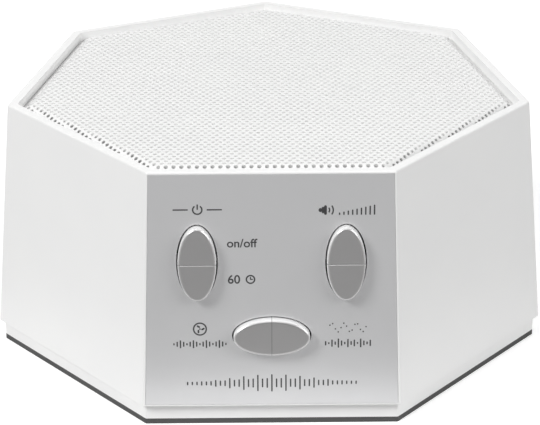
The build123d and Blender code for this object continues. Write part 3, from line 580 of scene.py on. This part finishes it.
power_up = 40.0 * mm
power_across = -13.9 * mm
power_ring = 1.0 * mm
power_parts = [
    ink_ring(power_across, power_up, power_ring, lambda angle: abs(angle - pi / 2) > radians(38)),
    ink_bar(power_across, power_up + power_ring * 0.55, stroke, power_ring * 1.1),
]
for sign in (-1, 1):
    power_parts.append(ink_bar(power_across + sign * 3.2 * mm, power_up, 2.9 * mm, stroke))
print_sign("power_sign", power_parts)

volume_up = 38.8 * mm
volume_across = 9.2 * mm
horn_up = volume_up + 1.0 * mm
horn_mouth = volume_across + 0.95 * mm
horn_parts = [
    ink_bar(volume_across, horn_up, 0.7 * mm, 0.8 * mm),
    ink_bar(volume_across + 0.5 * mm, horn_up, 0.55 * mm, 1.3 * mm),
    ink_bar(horn_mouth, horn_up, 0.55 * mm, 1.9 * mm),
]
for radius in (0.9 * mm, 1.6 * mm):
    horn_parts.append(ink_ring(horn_mouth, horn_up, radius, lambda angle: abs(angle) < 0.7))
wedge = [0.5 * mm + 1.5 * mm * step / 8 for step in range(9)]
ramp = bar_row(volume_across + 3.6 * mm, volume_up, 0.82 * mm, wedge, centred=False)
print_sign("volume_sign", horn_parts + ramp)

print_sign("on_off_sign", [ink_text("on/off", -8.45 * mm, 32.5 * mm, 1.66 * mm)])
clock_across = -4.0 * mm
clock_up = 26.0 * mm
clock_hand = stroke * 0.8
timer_parts = [
    ink_text("60", -8.35 * mm, 25.2 * mm, 1.7 * mm),
    ink_ring(clock_across, clock_up, 0.92 * mm),
    ink_bar(clock_across, clock_up + 0.22 * mm, clock_hand, 0.6 * mm),
    ink_bar(clock_across + 0.2 * mm, clock_up, 0.55 * mm, clock_hand),
]
print_sign("timer_sign", timer_parts)

fan_across = -13.7 * mm
fan_up = 15.95 * mm
fan_parts = [ink_ring(fan_across, fan_up, 1.35 * mm), ink_bar(fan_across, fan_up, 0.3 * mm, 0.31 * mm)]
for blade in range(3):
    lean = blade * 2 * pi / 3
    middle = Vector((cos(lean), sin(lean), 0)) * 0.58 * mm
    fan_parts.append(
        ink_bar(fan_across + middle.x, fan_up + middle.y, 0.34 * mm, 0.7 * mm, lean - pi / 2 + 0.5)
    )
wave_up = 12.85 * mm
hum = [0.45 * mm + 1.2 * mm * sin(step * pi / 4) ** 2 for step in range(17)]
print_sign("fan_sign", fan_parts + bar_row(-18.7 * mm, wave_up, 0.62 * mm, hum))

hiss_levels = (0.9, 0.4, 1.5, 0.7, 1.9, 1.1, 0.5, 1.7, 0.8, 1.4, 0.4, 1.8, 1.0, 0.6, 1.3)
hiss = [level * mm for level in hiss_levels]
spray = []
for step in range(14):
    height = 0.9 * mm * sin(step * 7.7 + 0.6)
    spray.append(ink_bar(11.1 * mm + step * 0.53 * mm, 16.05 * mm + height, stroke, stroke * 1.1))
print_sign("hiss_sign", spray + bar_row(10.3 * mm, wave_up, 0.61 * mm, hiss))

level_count = 37
swell = [
    0.7 * mm + 2.9 * mm * cos((step / (level_count - 1) - 0.5) * pi) ** 2 * (0.62 + 0.38 * cos(step * 2.1))
    for step in range(level_count)
]
print_sign("level_bars", bar_row(-16.2 * mm, 4.7 * mm, 0.9 * mm, swell))

# ---------------------------------------------------------------------------------------------
# Dome pads
# A soft silicone pad lies behind each key, with a dome under each of the key's two feet. It is
# moulded milky white, a little see-through, and glued to the control board.
# ---------------------------------------------------------------------------------------------

silicone = moulded("silicone", paint(222, 221, 216), paint(212, 211, 205), 0.42, depth=0.002 * mm)
silicone.shader.inputs["Subsurface Weight"].default_value = 0.25
silicone.shader.inputs["Subsurface Scale"].default_value = 0.8 * mm


def soft_copy(node):
    """A copy of a CAD node's mesh, with its loose triangles merged, for a piece that gives."""
    bpy.ops.object.select_all(action="DESELECT")
    piece = bpy.data.objects.new(f"{node}_copy", frame["nodes"][node].data.copy())
    bpy.context.collection.objects.link(piece)
    bpy.context.view_layer.objects.active = piece
    piece.select_set(True)
    piece = new_piece()
    bpy.ops.mesh.remove_doubles(threshold=0.001 * mm)
    bpy.ops.object.mode_set(mode="OBJECT")
    return piece


for key in ("power", "volume", "sound"):
    pad = soft_copy(f"{key}_dome_pad")
    foot = min(vertex.co.dot(face_out) for vertex in pad.data.vertices)
    finish_piece(pad, f"{key}_dome_sheet", silicone)
    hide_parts(f"{key}_dome_pad")
    face_out * foot
    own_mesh(pad)

# ---------------------------------------------------------------------------------------------
# Circuit boards
# Glass-fibre boards under a green lacquer. Copper tracks and small plated holes show through it,
# and it is glossy where it pooled between them.
# ---------------------------------------------------------------------------------------------

board_grid = 1.27 * mm
track_share = 0.82
board_green = Finish("board_green", {"Specular IOR Level": 0.5})
board_across = board_green.along(0)
board_up = board_green.along(1) + board_green.along(2)
quarter = board_green.noise(13 * mm, 0.0) > 0.5
upright_tracks = (board_green.waves(board_across, board_grid) > track_share) * quarter
level_tracks = (board_green.waves(board_up, board_grid) > track_share) * (1 - quarter)
copper_pour = board_green.noise(9 * mm, 0.0) > 0.58
board_copper = board_green.maths("MAXIMUM", upright_tracks + level_tracks, copper_pour)
board_holes = board_green.cells(3.2 * mm) < 0.1
lacquer = board_green.blend(board_copper, paint(22, 82, 50), paint(42, 112, 66))
board_green.tint(board_holes, lacquer, paint(196, 192, 176))
board_green.vary("Roughness", board_green.noise(2 * mm) * 0.12 + 0.26)
board_green.emboss(board_copper, 0.03 * mm)
board_green.cover("control_board", "main_board")

# ---------------------------------------------------------------------------------------------
# Tracks and solder
# Copper runs from the processor to the ribbon header, from the amplifier to the speaker header
# and from the power socket to the capacitors. Tin solder holds the chips, and the two leads.
# ---------------------------------------------------------------------------------------------

overlap_lift = 0.008 * mm


def track(points, width):
    """A copper run through points, with round ends and bends."""
    run = []
    for index, (start, end) in enumerate(zip(points, points[1:])):
        step = Vector(end) - Vector(start)
        middle = (Vector(start) + Vector(end)) / 2
        run.append(ink_bar(middle.x, middle.y, step.length + width, width, atan2(step.y, step.x)))
        run[-1].location.z = (index % 2) * overlap_lift
    return run


def beads(name, places, radius, height, place):
    """Low domes of solder, one at each place on a surface."""
    bpy.ops.object.select_all(action="DESELECT")
    bpy.ops.mesh.primitive_circle_add(vertices=10, radius=radius, fill_type="NGON")
    bead = new_piece()
    for share, rise in ((0.85, 0.5), (0.6, 0.3), (0.4, 0.2)):
        bpy.ops.mesh.extrude_region_move(TRANSFORM_OT_translate={"value": (0, 0, height * rise)})
        bpy.ops.transform.resize(value=(share, share, 1), center_override=(0, 0, 0))
    bpy.ops.mesh.select_all(action="SELECT")
    bpy.ops.transform.translate(value=(*places[0], 0))
    for start, end in zip(places, places[1:]):
        step = Vector(end) - Vector(start)
        bpy.ops.mesh.duplicate_move(TRANSFORM_OT_translate={"value": (step.x, step.y, 0)})
    bpy.ops.mesh.select_all(action="SELECT")
    bpy.ops.mesh.normals_make_consistent(inside=False)
    bpy.ops.object.mode_set(mode="OBJECT")
    bead.matrix_world = place
    finish_piece(bead, name, tin, smooth=60)


board_top = Matrix.Translation((0, 0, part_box("main_board")[1].z))
copper_thickness = 0.035 * mm
track_width = 0.3 * mm

track_green = Finish("track_green", {"Metallic": 0.35, "Specular IOR Level": 0.5})
track_green.tint(track_green.noise(2 * mm), paint(52, 126, 74), paint(62, 138, 80))
track_green.vary("Roughness", track_green.noise(1 * mm) * 0.12 + 0.26)

tin = Finish("tin", {"Metallic": 1.0})
tin.tint(tin.noise(1.5 * mm), paint(206, 206, 202), paint(184, 184, 182))
tin.vary("Roughness", tin.noise(0.6 * mm) * 0.2 + 0.24)
tin.emboss(tin.noise(0.3 * mm), 0.004 * mm)
tin.cover("speaker_tabs", "power_socket_pin", "socket_contacts")


def middle_of(node):
    """The middle of a CAD node's box."""
    low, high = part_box(node)
    return (low + high) / 2


processor_middle = middle_of("processor")
processor_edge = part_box("processor")[0].y
header_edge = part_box("main_board_header")[1].y + 0.5 * mm
leg_count = 8
leg_pitch = 1.0 * mm
bus_pitch = 0.7 * mm
bus_across = 10.5 * mm
bus_turn = 12 * mm
runs = []
for leg in range(leg_count):
    leg_across = processor_middle.x + (leg - (leg_count - 1) / 2) * leg_pitch
    bus = bus_across + leg * bus_pitch
    pin = (leg - (leg_count - 1) / 2) * leg_pitch
    points = [
        (leg_across, processor_edge + 0.3 * mm),
        (leg_across, bus_turn),
        (bus, bus_turn - (bus - leg_across)),
        (bus, header_edge + (bus - pin)),
        (pin, header_edge),
    ]
    runs += track(points, track_width)
amplifier_low, amplifier_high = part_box("amplifier")
lead_low, lead_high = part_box("speaker_header")
for side in (0, 1):
    start = amplifier_low.x + (1.2 + side * 1.27) * mm
    end = lead_low.y + (1.6 + side * 4.2) * mm
    inset = side * 1.6 * mm
    points = [
        (start, amplifier_high.y - 0.3 * mm),
        (start, amplifier_high.y + 3.5 * mm - inset),
        (lead_high.x + 4.0 * mm - inset, end),
        (lead_high.x - 0.5 * mm, end),
    ]
    runs += track(points, track_width * 2)
socket_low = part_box("power_socket")[0]
inductor_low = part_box("inductor")[0]
socket_pin = socket_low.x + 3.0 * mm
supply = [
    (socket_pin, socket_low.y + 1.0 * mm),
    (socket_pin, 19 * mm),
    (-9.5 * mm, 14.5 * mm),
    (10.0 * mm, 14.5 * mm),
    (inductor_low.x + 3.0 * mm, inductor_low.y + 0.5 * mm),
]
runs += track(supply, track_width * 4)
lay_flat("main_board_tracks", runs, board_top, copper_thickness, track_green)

chip_height = 0.55 * mm
chip_half_length = 1.0 * mm
chip_pitch = 5.0 * mm
chip_rows = (-19.5 * mm, -15.0 * mm, -10.5 * mm)
back_rows = (22.0 * mm, 28.0 * mm)
chip_columns = [(column - 1.5) * chip_pitch for column in range(4)]
joint_reach = chip_half_length * 1.1
joint_radius = 0.42 * mm
joint_height = 0.36 * mm


def chip_ends(rows):
    """Where the solder joints of small chips lie, two to each chip in rows on a board."""
    return [
        (column + side * joint_reach, row) for row in rows for column in chip_columns for side in (-1, 1)
    ]


beads("main_board_solder", chip_ends(chip_rows), joint_radius, joint_height, board_top)

chip_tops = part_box("control_board_chips")[1]
board_depth = -(face_place.inverted() @ chip_tops).z - chip_height
board_back = face_place @ Matrix.Translation((0, 0, -board_depth)) @ Matrix.Rotation(pi, 4, "Y")
beads("control_board_solder", chip_ends(back_rows), joint_radius, joint_height, board_back)
back_runs = []
for column in chip_columns:
    drop = 12.5 * mm + abs(column) * 0.3
    near_chip, far_chip = [(column, row) for row in back_rows]
    back_runs += track([far_chip, near_chip], track_width)
    back_runs += track([near_chip, (column, drop + 3 * mm), (column * 0.4, drop)], track_width)
    back_runs += track([far_chip, (column * 1.5, 34 * mm)], track_width)
lay_flat("control_board_tracks", back_runs, board_back, copper_thickness, track_green)

lead_ends = [(0, -2.6 * mm), (0, 2.6 * mm)]
tab_foot = middle_of("speaker_tabs")
tab_foot.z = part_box("speaker_tabs")[0].z + 0.45 * mm
tab_place = Matrix.Translation(tab_foot) @ Matrix.Rotation(pi, 4, "X")
beads("lead_solder", lead_ends, 1.25 * mm, 1.1 * mm, tab_place)

# ---------------------------------------------------------------------------------------------
# Chips
# Black epoxy packages with tinned copper legs, and small ceramic chips with tinned ends. They
# are soldered flat on the boards.
# ---------------------------------------------------------------------------------------------


def chip_package(name, node, half_width, half_depth):
    """Black epoxy inside the package's outline, and tin on what stands out of it."""
    middle = middle_of(node)
    finish = Finish(name, {"Specular IOR Level": 0.4})
    beyond = (finish.off(0, middle.x) > half_width) + (finish.off(1, middle.y) > half_depth)
    legs = finish.maths("MINIMUM", beyond, 1.0)
    epoxy = finish.blend(finish.noise(0.2 * mm), paint(33, 33, 35), paint(42, 42, 44))
    finish.tint(legs, epoxy, paint(200, 200, 196))
    finish.vary("Metallic", legs)
    finish.vary("Roughness", 0.55 - legs * 0.25 + finish.noise(1 * mm) * 0.1)
    finish.emboss(finish.noise(0.1 * mm), 0.004 * mm)
    finish.cover(node)


chip_package("processor_epoxy", "processor", 5.01 * mm, 5.01 * mm)
chip_package("amplifier_epoxy", "amplifier", 2.51 * mm, 2.01 * mm)

ceramic = Finish("ceramic", {"Specular IOR Level": 0.4})
from_middle = ceramic.maths("PINGPONG", ceramic.along(0) - chip_pitch / 2, chip_pitch / 2)
body_share = 0.68
ceramic_ends = from_middle > chip_half_length * body_share
ceramic_brown = ceramic.blend(ceramic.noise(3 * mm, 0.0) > 0.5, paint(40, 40, 42), paint(134, 108, 82))
ceramic.tint(ceramic_ends, ceramic_brown, paint(204, 204, 200))
ceramic.vary("Metallic", ceramic_ends * 0.9)
ceramic.vary("Roughness", ceramic.noise(0.4 * mm) * 0.2 + 0.3)
ceramic.cover("chip_parts", "control_board_chips")

# ---------------------------------------------------------------------------------------------
# Capacitors
# Aluminium cans in dark blue shrink sleeves, with a pale stripe down one side, and a cross
# pressed into the bare top of each so that it can vent.
# ---------------------------------------------------------------------------------------------

can_places = (
    (Vector((25.5, -10.0, 0)) * mm, 4.0 * mm),
    (Vector((26.5, 0.5, 0)) * mm, 3.15 * mm),
    (Vector((-27.5, -12.0, 0)) * mm, 3.15 * mm),
)
groove_half_width = 0.14 * mm
cross_share = 0.72
sleeve_share = 1.1
stripe_start = 1.72
cans = Finish("cans", {"Specular IOR Level": 0.5})
grooves = 0.0
stripes = 0.0
for can_middle, can_radius in can_places:
    from_axis = cans.reach(can_middle)
    level_groove = cans.off(1, can_middle.y) < groove_half_width
    upright_groove = cans.off(0, can_middle.x) < groove_half_width
    cross = level_groove + upright_groove
    grooves = (from_axis < can_radius * cross_share) * cross + grooves
    stripe = cans.off(1, can_middle.y + can_radius) > can_radius * stripe_start
    stripes = (from_axis < can_radius * sleeve_share) * stripe + stripes
bare = cans.facing((0, 0, 1)) > 0.75
sleeve = cans.blend(stripes, paint(34, 38, 62), paint(176, 178, 182))
cans.tint(bare, sleeve, paint(214, 215, 217))
cans.vary("Metallic", bare)
cans.vary("Roughness", cans.noise(1.2 * mm) * 0.15 + 0.3)
cans.emboss(1 - grooves * bare, 0.12 * mm)
cans.cover("capacitors")

# ---------------------------------------------------------------------------------------------
# Ferrite
# The speaker's ring magnet and the body of the inductor are pressed and fired ferrite, a dull
# dark grey with a coarse, slightly sparkling grain.
# ---------------------------------------------------------------------------------------------

ferrite = moulded("ferrite", paint(58, 58, 61), paint(74, 74, 76), 0.6, grain=0.4 * mm, depth=0.02 * mm)
ferrite.cover("speaker_magnet", "inductor")

# ---------------------------------------------------------------------------------------------
# Plated steel
# The speaker's top plate and yoke are turned from steel, and the crystal's can is drawn from
# it. All are zinc or nickel plated, with fine rings from the tool on the turned ones.
# ---------------------------------------------------------------------------------------------

speaker_middle = middle_of("speaker_magnet")


def plated(name, colour, shade, roughness, middle, pitch=0.35 * mm):
    """Plated steel with fine rings round an upright axis."""
    finish = Finish(name, {"Metallic": 1.0})
    cloud = finish.noise(5 * mm)
    rings = finish.waves(finish.reach(middle), pitch)
    finish.tint(cloud, colour, shade)
    finish.vary("Roughness", cloud * 0.14 + roughness)
    finish.emboss(rings * 0.6 + finish.noise(0.2 * mm) * 0.4, 0.005 * mm)
    return finish


zinc_steel = plated("zinc_steel", paint(178, 180, 182), paint(160, 162, 166), 0.32, speaker_middle)
zinc_steel.cover("speaker_top_plate", "speaker_yoke")
can_steel = plated(
    "can_steel", paint(200, 200, 198), paint(186, 186, 186), 0.24, processor_middle, pitch=1.6 * mm
)
can_steel.cover("crystal")

# ---------------------------------------------------------------------------------------------
# Screws
# Rolled steel screws with cross recesses, zinc plated. Four hold each board, four hold the
# speaker and four long ones hold the base.
# ---------------------------------------------------------------------------------------------

screw_steel = plated("screw_steel", paint(196, 197, 199), paint(170, 172, 176), 0.28, speaker_middle)
screw_steel.cover("control_board_screws", "main_board_screws", "speaker_screws", "base_screws")

# ---------------------------------------------------------------------------------------------
# Headers and sockets
# The headers that the ribbon and the leads plug into are natural nylon, ivory and satin. The
# power and audio sockets are black glass-filled plastic with a coarser grain.
# ---------------------------------------------------------------------------------------------

nylon = moulded("nylon", paint(228, 223, 207), paint(219, 213, 196), 0.46)
nylon.cover("control_board_header", "main_board_header", "speaker_header")
socket_black = moulded("socket_black", paint(34, 34, 36), paint(44, 44, 46), 0.5, depth=0.008 * mm)
socket_black.cover("power_socket", "audio_socket")

# ---------------------------------------------------------------------------------------------
# Ribbon cable
# Eight thin wires side by side in grey PVC, so the flat is ribbed, and the first wire is marked
# red. It runs from the control board to the main board.
# ---------------------------------------------------------------------------------------------

flat_low, flat_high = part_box("ribbon_cable")
wire_pitch = (flat_high.x - flat_low.x) / leg_count
ribbon_grey = Finish("ribbon_grey", {"Specular IOR Level": 0.4})
first_wire = ribbon_grey.along(0) < flat_low.x + wire_pitch
ribs = ribbon_grey.waves(ribbon_grey.along(0) - flat_low.x - wire_pitch / 4, wire_pitch)
pvc_grey = ribbon_grey.blend(ribs, paint(118, 120, 124), paint(148, 150, 153))
ribbon_grey.tint(first_wire, pvc_grey, paint(170, 46, 42))
ribbon_grey.vary("Roughness", ribbon_grey.noise(1 * mm) * 0.1 + 0.42)
ribbon_grey.emboss(ribs, 0.2 * mm)
ribbon_grey.cover("ribbon_cable")

# ---------------------------------------------------------------------------------------------
# Speaker leads
# Two soft PVC-covered wires, red and black, from the speaker's tabs to the main board. They
# have the slight sheen and unevenness of extruded insulation.
# ---------------------------------------------------------------------------------------------

wire_red = moulded("wire_red", paint(176, 36, 32), paint(160, 30, 28), 0.36, 0.5 * mm, 0.01 * mm)
wire_red.cover("speaker_lead_red")
wire_black = moulded("wire_black", paint(32, 32, 34), paint(40, 40, 42), 0.36, 0.5 * mm, 0.01 * mm)
wire_black.cover("speaker_lead_black")

# ---------------------------------------------------------------------------------------------
# Speaker frame, gasket and tag board
# The frame is pressed steel in black enamel with a faint orange peel. A foam ring seals it
# against the deck, and a brown paper laminate board on its side carries the tabs.
# ---------------------------------------------------------------------------------------------

frame_black = moulded("frame_black", paint(40, 40, 42), paint(48, 48, 50), 0.36, 0.9 * mm, 0.02 * mm)
frame_black.cover("speaker_frame")

gasket_foam = Finish("gasket_foam", {"Specular IOR Level": 0.2})
pores = gasket_foam.cells(0.45 * mm)
gasket_foam.tint(pores, paint(40, 40, 42), paint(74, 74, 76))
gasket_foam.vary("Roughness", pores * 0.1 + 0.85)
gasket_foam.emboss(pores, 0.12 * mm)
gasket_foam.cover("speaker_gasket")

tag_brown = moulded("tag_brown", paint(126, 86, 52), paint(104, 70, 42), 0.5, 0.6 * mm, 0.01 * mm)
tag_brown.cover("speaker_tag_board")

# ---------------------------------------------------------------------------------------------
# Cone and dust cap
# Pressed paper pulp, dyed dark, with fibres in it and shallow rings round the cone. The dust
# cap is the same paper, glued over the voice coil.
# ---------------------------------------------------------------------------------------------

cone_paper = Finish("cone_paper", {"Specular IOR Level": 0.25})
fibres = cone_paper.noise(0.7 * mm, 6.0)
cone_rings = cone_paper.waves(cone_paper.reach(speaker_middle), 3.2 * mm)
cone_paper.tint(fibres, paint(46, 44, 42), paint(76, 72, 68))
cone_paper.vary("Roughness", fibres * 0.12 + 0.76)
cone_paper.emboss(cone_rings * 0.8 + fibres * 0.2, 0.12 * mm)
cone_paper.cover("speaker_cone", "dust_cap")

# ---------------------------------------------------------------------------------------------
# Surround and spider
# The surround is a moulded butyl rubber roll. The spider is a woven cloth stiffened with amber
# resin and pressed into waves. Both give as the cone moves.
# ---------------------------------------------------------------------------------------------

surround_rubber = moulded("surround_rubber", paint(38, 38, 39), paint(46, 46, 47), 0.56, depth=0.006 * mm)
sector_count = 12


def flexing_ring(node, name, finish):
    """A soft ring, cut into sectors that reach from the fixed frame to the moving cone."""
    half_turn = pi / sector_count
    for sector in range(sector_count):
        turn = sector * 2 * half_turn
        piece = soft_copy(node)
        for side in (-1, 1):
            edge = turn + side * half_turn
            pick(piece, "FACE", lambda place: True)
            bpy.ops.mesh.bisect(
                plane_co=speaker_middle,
                plane_no=(-side * sin(edge), side * cos(edge), 0),
                threshold=0.001 * mm,
                use_fill=True,
                clear_outer=True,
            )
        finish_piece(piece, f"{name}_{sector + 1:02d}", finish, body=None)
        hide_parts(node)
        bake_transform(piece)


flexing_ring(
    "speaker_surround", "surround_sector", surround_rubber
)

thread_pitch = 0.55 * mm
spider_cloth = Finish("spider_cloth", {"Specular IOR Level": 0.35})
warp = spider_cloth.waves(spider_cloth.along(0), thread_pitch)
weft = spider_cloth.waves(spider_cloth.along(1), thread_pitch)
weave = warp * 0.5 + weft * 0.5
spider_cloth.tint(weave, paint(150, 116, 62), paint(206, 172, 106))
spider_cloth.vary("Roughness", spider_cloth.noise(3 * mm) * 0.15 + 0.5)
spider_cloth.emboss(weave, 0.08 * mm)
flexing_ring("speaker_spider", "spider_sector", spider_cloth)

# ---------------------------------------------------------------------------------------------
# Voice coil
# Fine enamelled copper wire, wound on the lower end of an amber polyimide tube that reaches up
# to the cone.
# ---------------------------------------------------------------------------------------------

winding_height = 5.0 * mm
winding_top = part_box("voice_coil")[0].z + winding_height
winding_pitch = 0.3 * mm
coil_copper = Finish("coil_copper", {"Specular IOR Level": 0.5})
wound = coil_copper.along(2) < winding_top
turns = coil_copper.waves(coil_copper.along(2), winding_pitch)
enamel = coil_copper.blend(turns, paint(150, 74, 44), paint(204, 118, 76))
tube_amber = coil_copper.blend(coil_copper.noise(4 * mm), paint(190, 122, 40), paint(206, 142, 58))
coil_copper.tint(wound, tube_amber, enamel)
coil_copper.vary("Metallic", wound * 0.9)
coil_copper.vary("Roughness", coil_copper.noise(1 * mm) * 0.1 + 0.3)
coil_copper.emboss(turns * wound, 0.1 * mm)
coil_copper.cover("voice_coil")

# ---------------------------------------------------------------------------------------------
# Foot
# One soft rubber sheet under the plinth, dull and a little dusty, with holes for the screws.
# ---------------------------------------------------------------------------------------------

foot_rubber = moulded(
    "foot_rubber", paint(78, 78, 78), paint(91, 91, 91), 0.75, sheen=0.25, depth=0.012 * mm
)
foot_rubber.cover("foot_pad")

# ---------------------------------------------------------------------------------------------
# Studio
# The machine stands on a pale floor, under one key light at the upper left, a weaker one at the
# right, and faint ones overhead and behind. Away from the machine the floor sends back less
# light than it shows, so that walls and fascia darken a little upwards.
# ---------------------------------------------------------------------------------------------

bpy.ops.object.select_all(action="DESELECT")
floor_gap = 0.05 * mm  # a floor in line with the foot's underside would flicker with it
bpy.ops.mesh.primitive_plane_add(size=6.0, location=(0, 0, -floor_gap))
floor = bpy.context.object
floor.name = "floor"
floor_white = Finish("floor_white", {"Roughness": 0.9, "Specular IOR Level": 0.1, "Emission Strength": 0.5})
near_radius = 80 * mm
far = floor_white.reach(Vector()) > near_radius
eye = floor_white.node("ShaderNodeLightPath", output="Is Camera Ray")
gloss = floor_white.node("ShaderNodeLightPath", output="Is Glossy Ray")
glass = floor_white.node("ShaderNodeLightPath", output="Is Transmission Ray")
hidden = floor_white.blend(far, paint(205, 205, 205), paint(164, 164, 164))
floor_white.tint(eye, hidden, paint(225, 225, 225))
seen = eye + glass + gloss * (1 - far)
floor_white.vary("Emission Color", floor_white.blend(seen, (0, 0, 0, 1), (1, 1, 1, 1)))
floor.data.materials.append(floor_white.material)


aim_height = 30 * mm


def softbox(name, place, size, power):
    """A square studio lamp that faces the object."""
    bpy.ops.object.light_add(type="AREA", location=place)
    lamp = bpy.context.object
    lamp.name = name
    lamp.data.size = size
    lamp.data.energy = power
    aim = Vector((0, 0, aim_height)) - Vector(place)
    lamp.rotation_euler = aim.to_track_quat("-Z", "Y").to_euler()


softbox("key_light", (-0.9, -0.6, 0.9), 0.45, 14.6)
softbox("right_light", (1.0, -0.5, 0.6), 0.8, 8.9)
softbox("top_light", (0.0, -0.43, 1.07), 0.45, 2)
softbox("back_light", (0.0, 1.2, 0.8), 0.9, 3.6)

world = bpy.data.worlds.new("studio")
bpy.context.scene.world = world
world.use_nodes = True
background = world.node_tree.nodes["Background"]
background.inputs["Color"].default_value = (1, 1, 1, 1)
background.inputs["Strength"].default_value = 0.15

bpy.ops.object.camera_add(
    location=(-5.07 * mm, -460.57 * mm, 220.0 * mm),
    rotation=(radians(66.802), radians(0.125), radians(-0.723)),
)
camera = bpy.context.object
camera.data.sensor_width = 36.0
camera.data.lens = 159.15
bpy.context.scene.camera = camera
bpy.context.scene.view_settings.view_transform = "Standard"
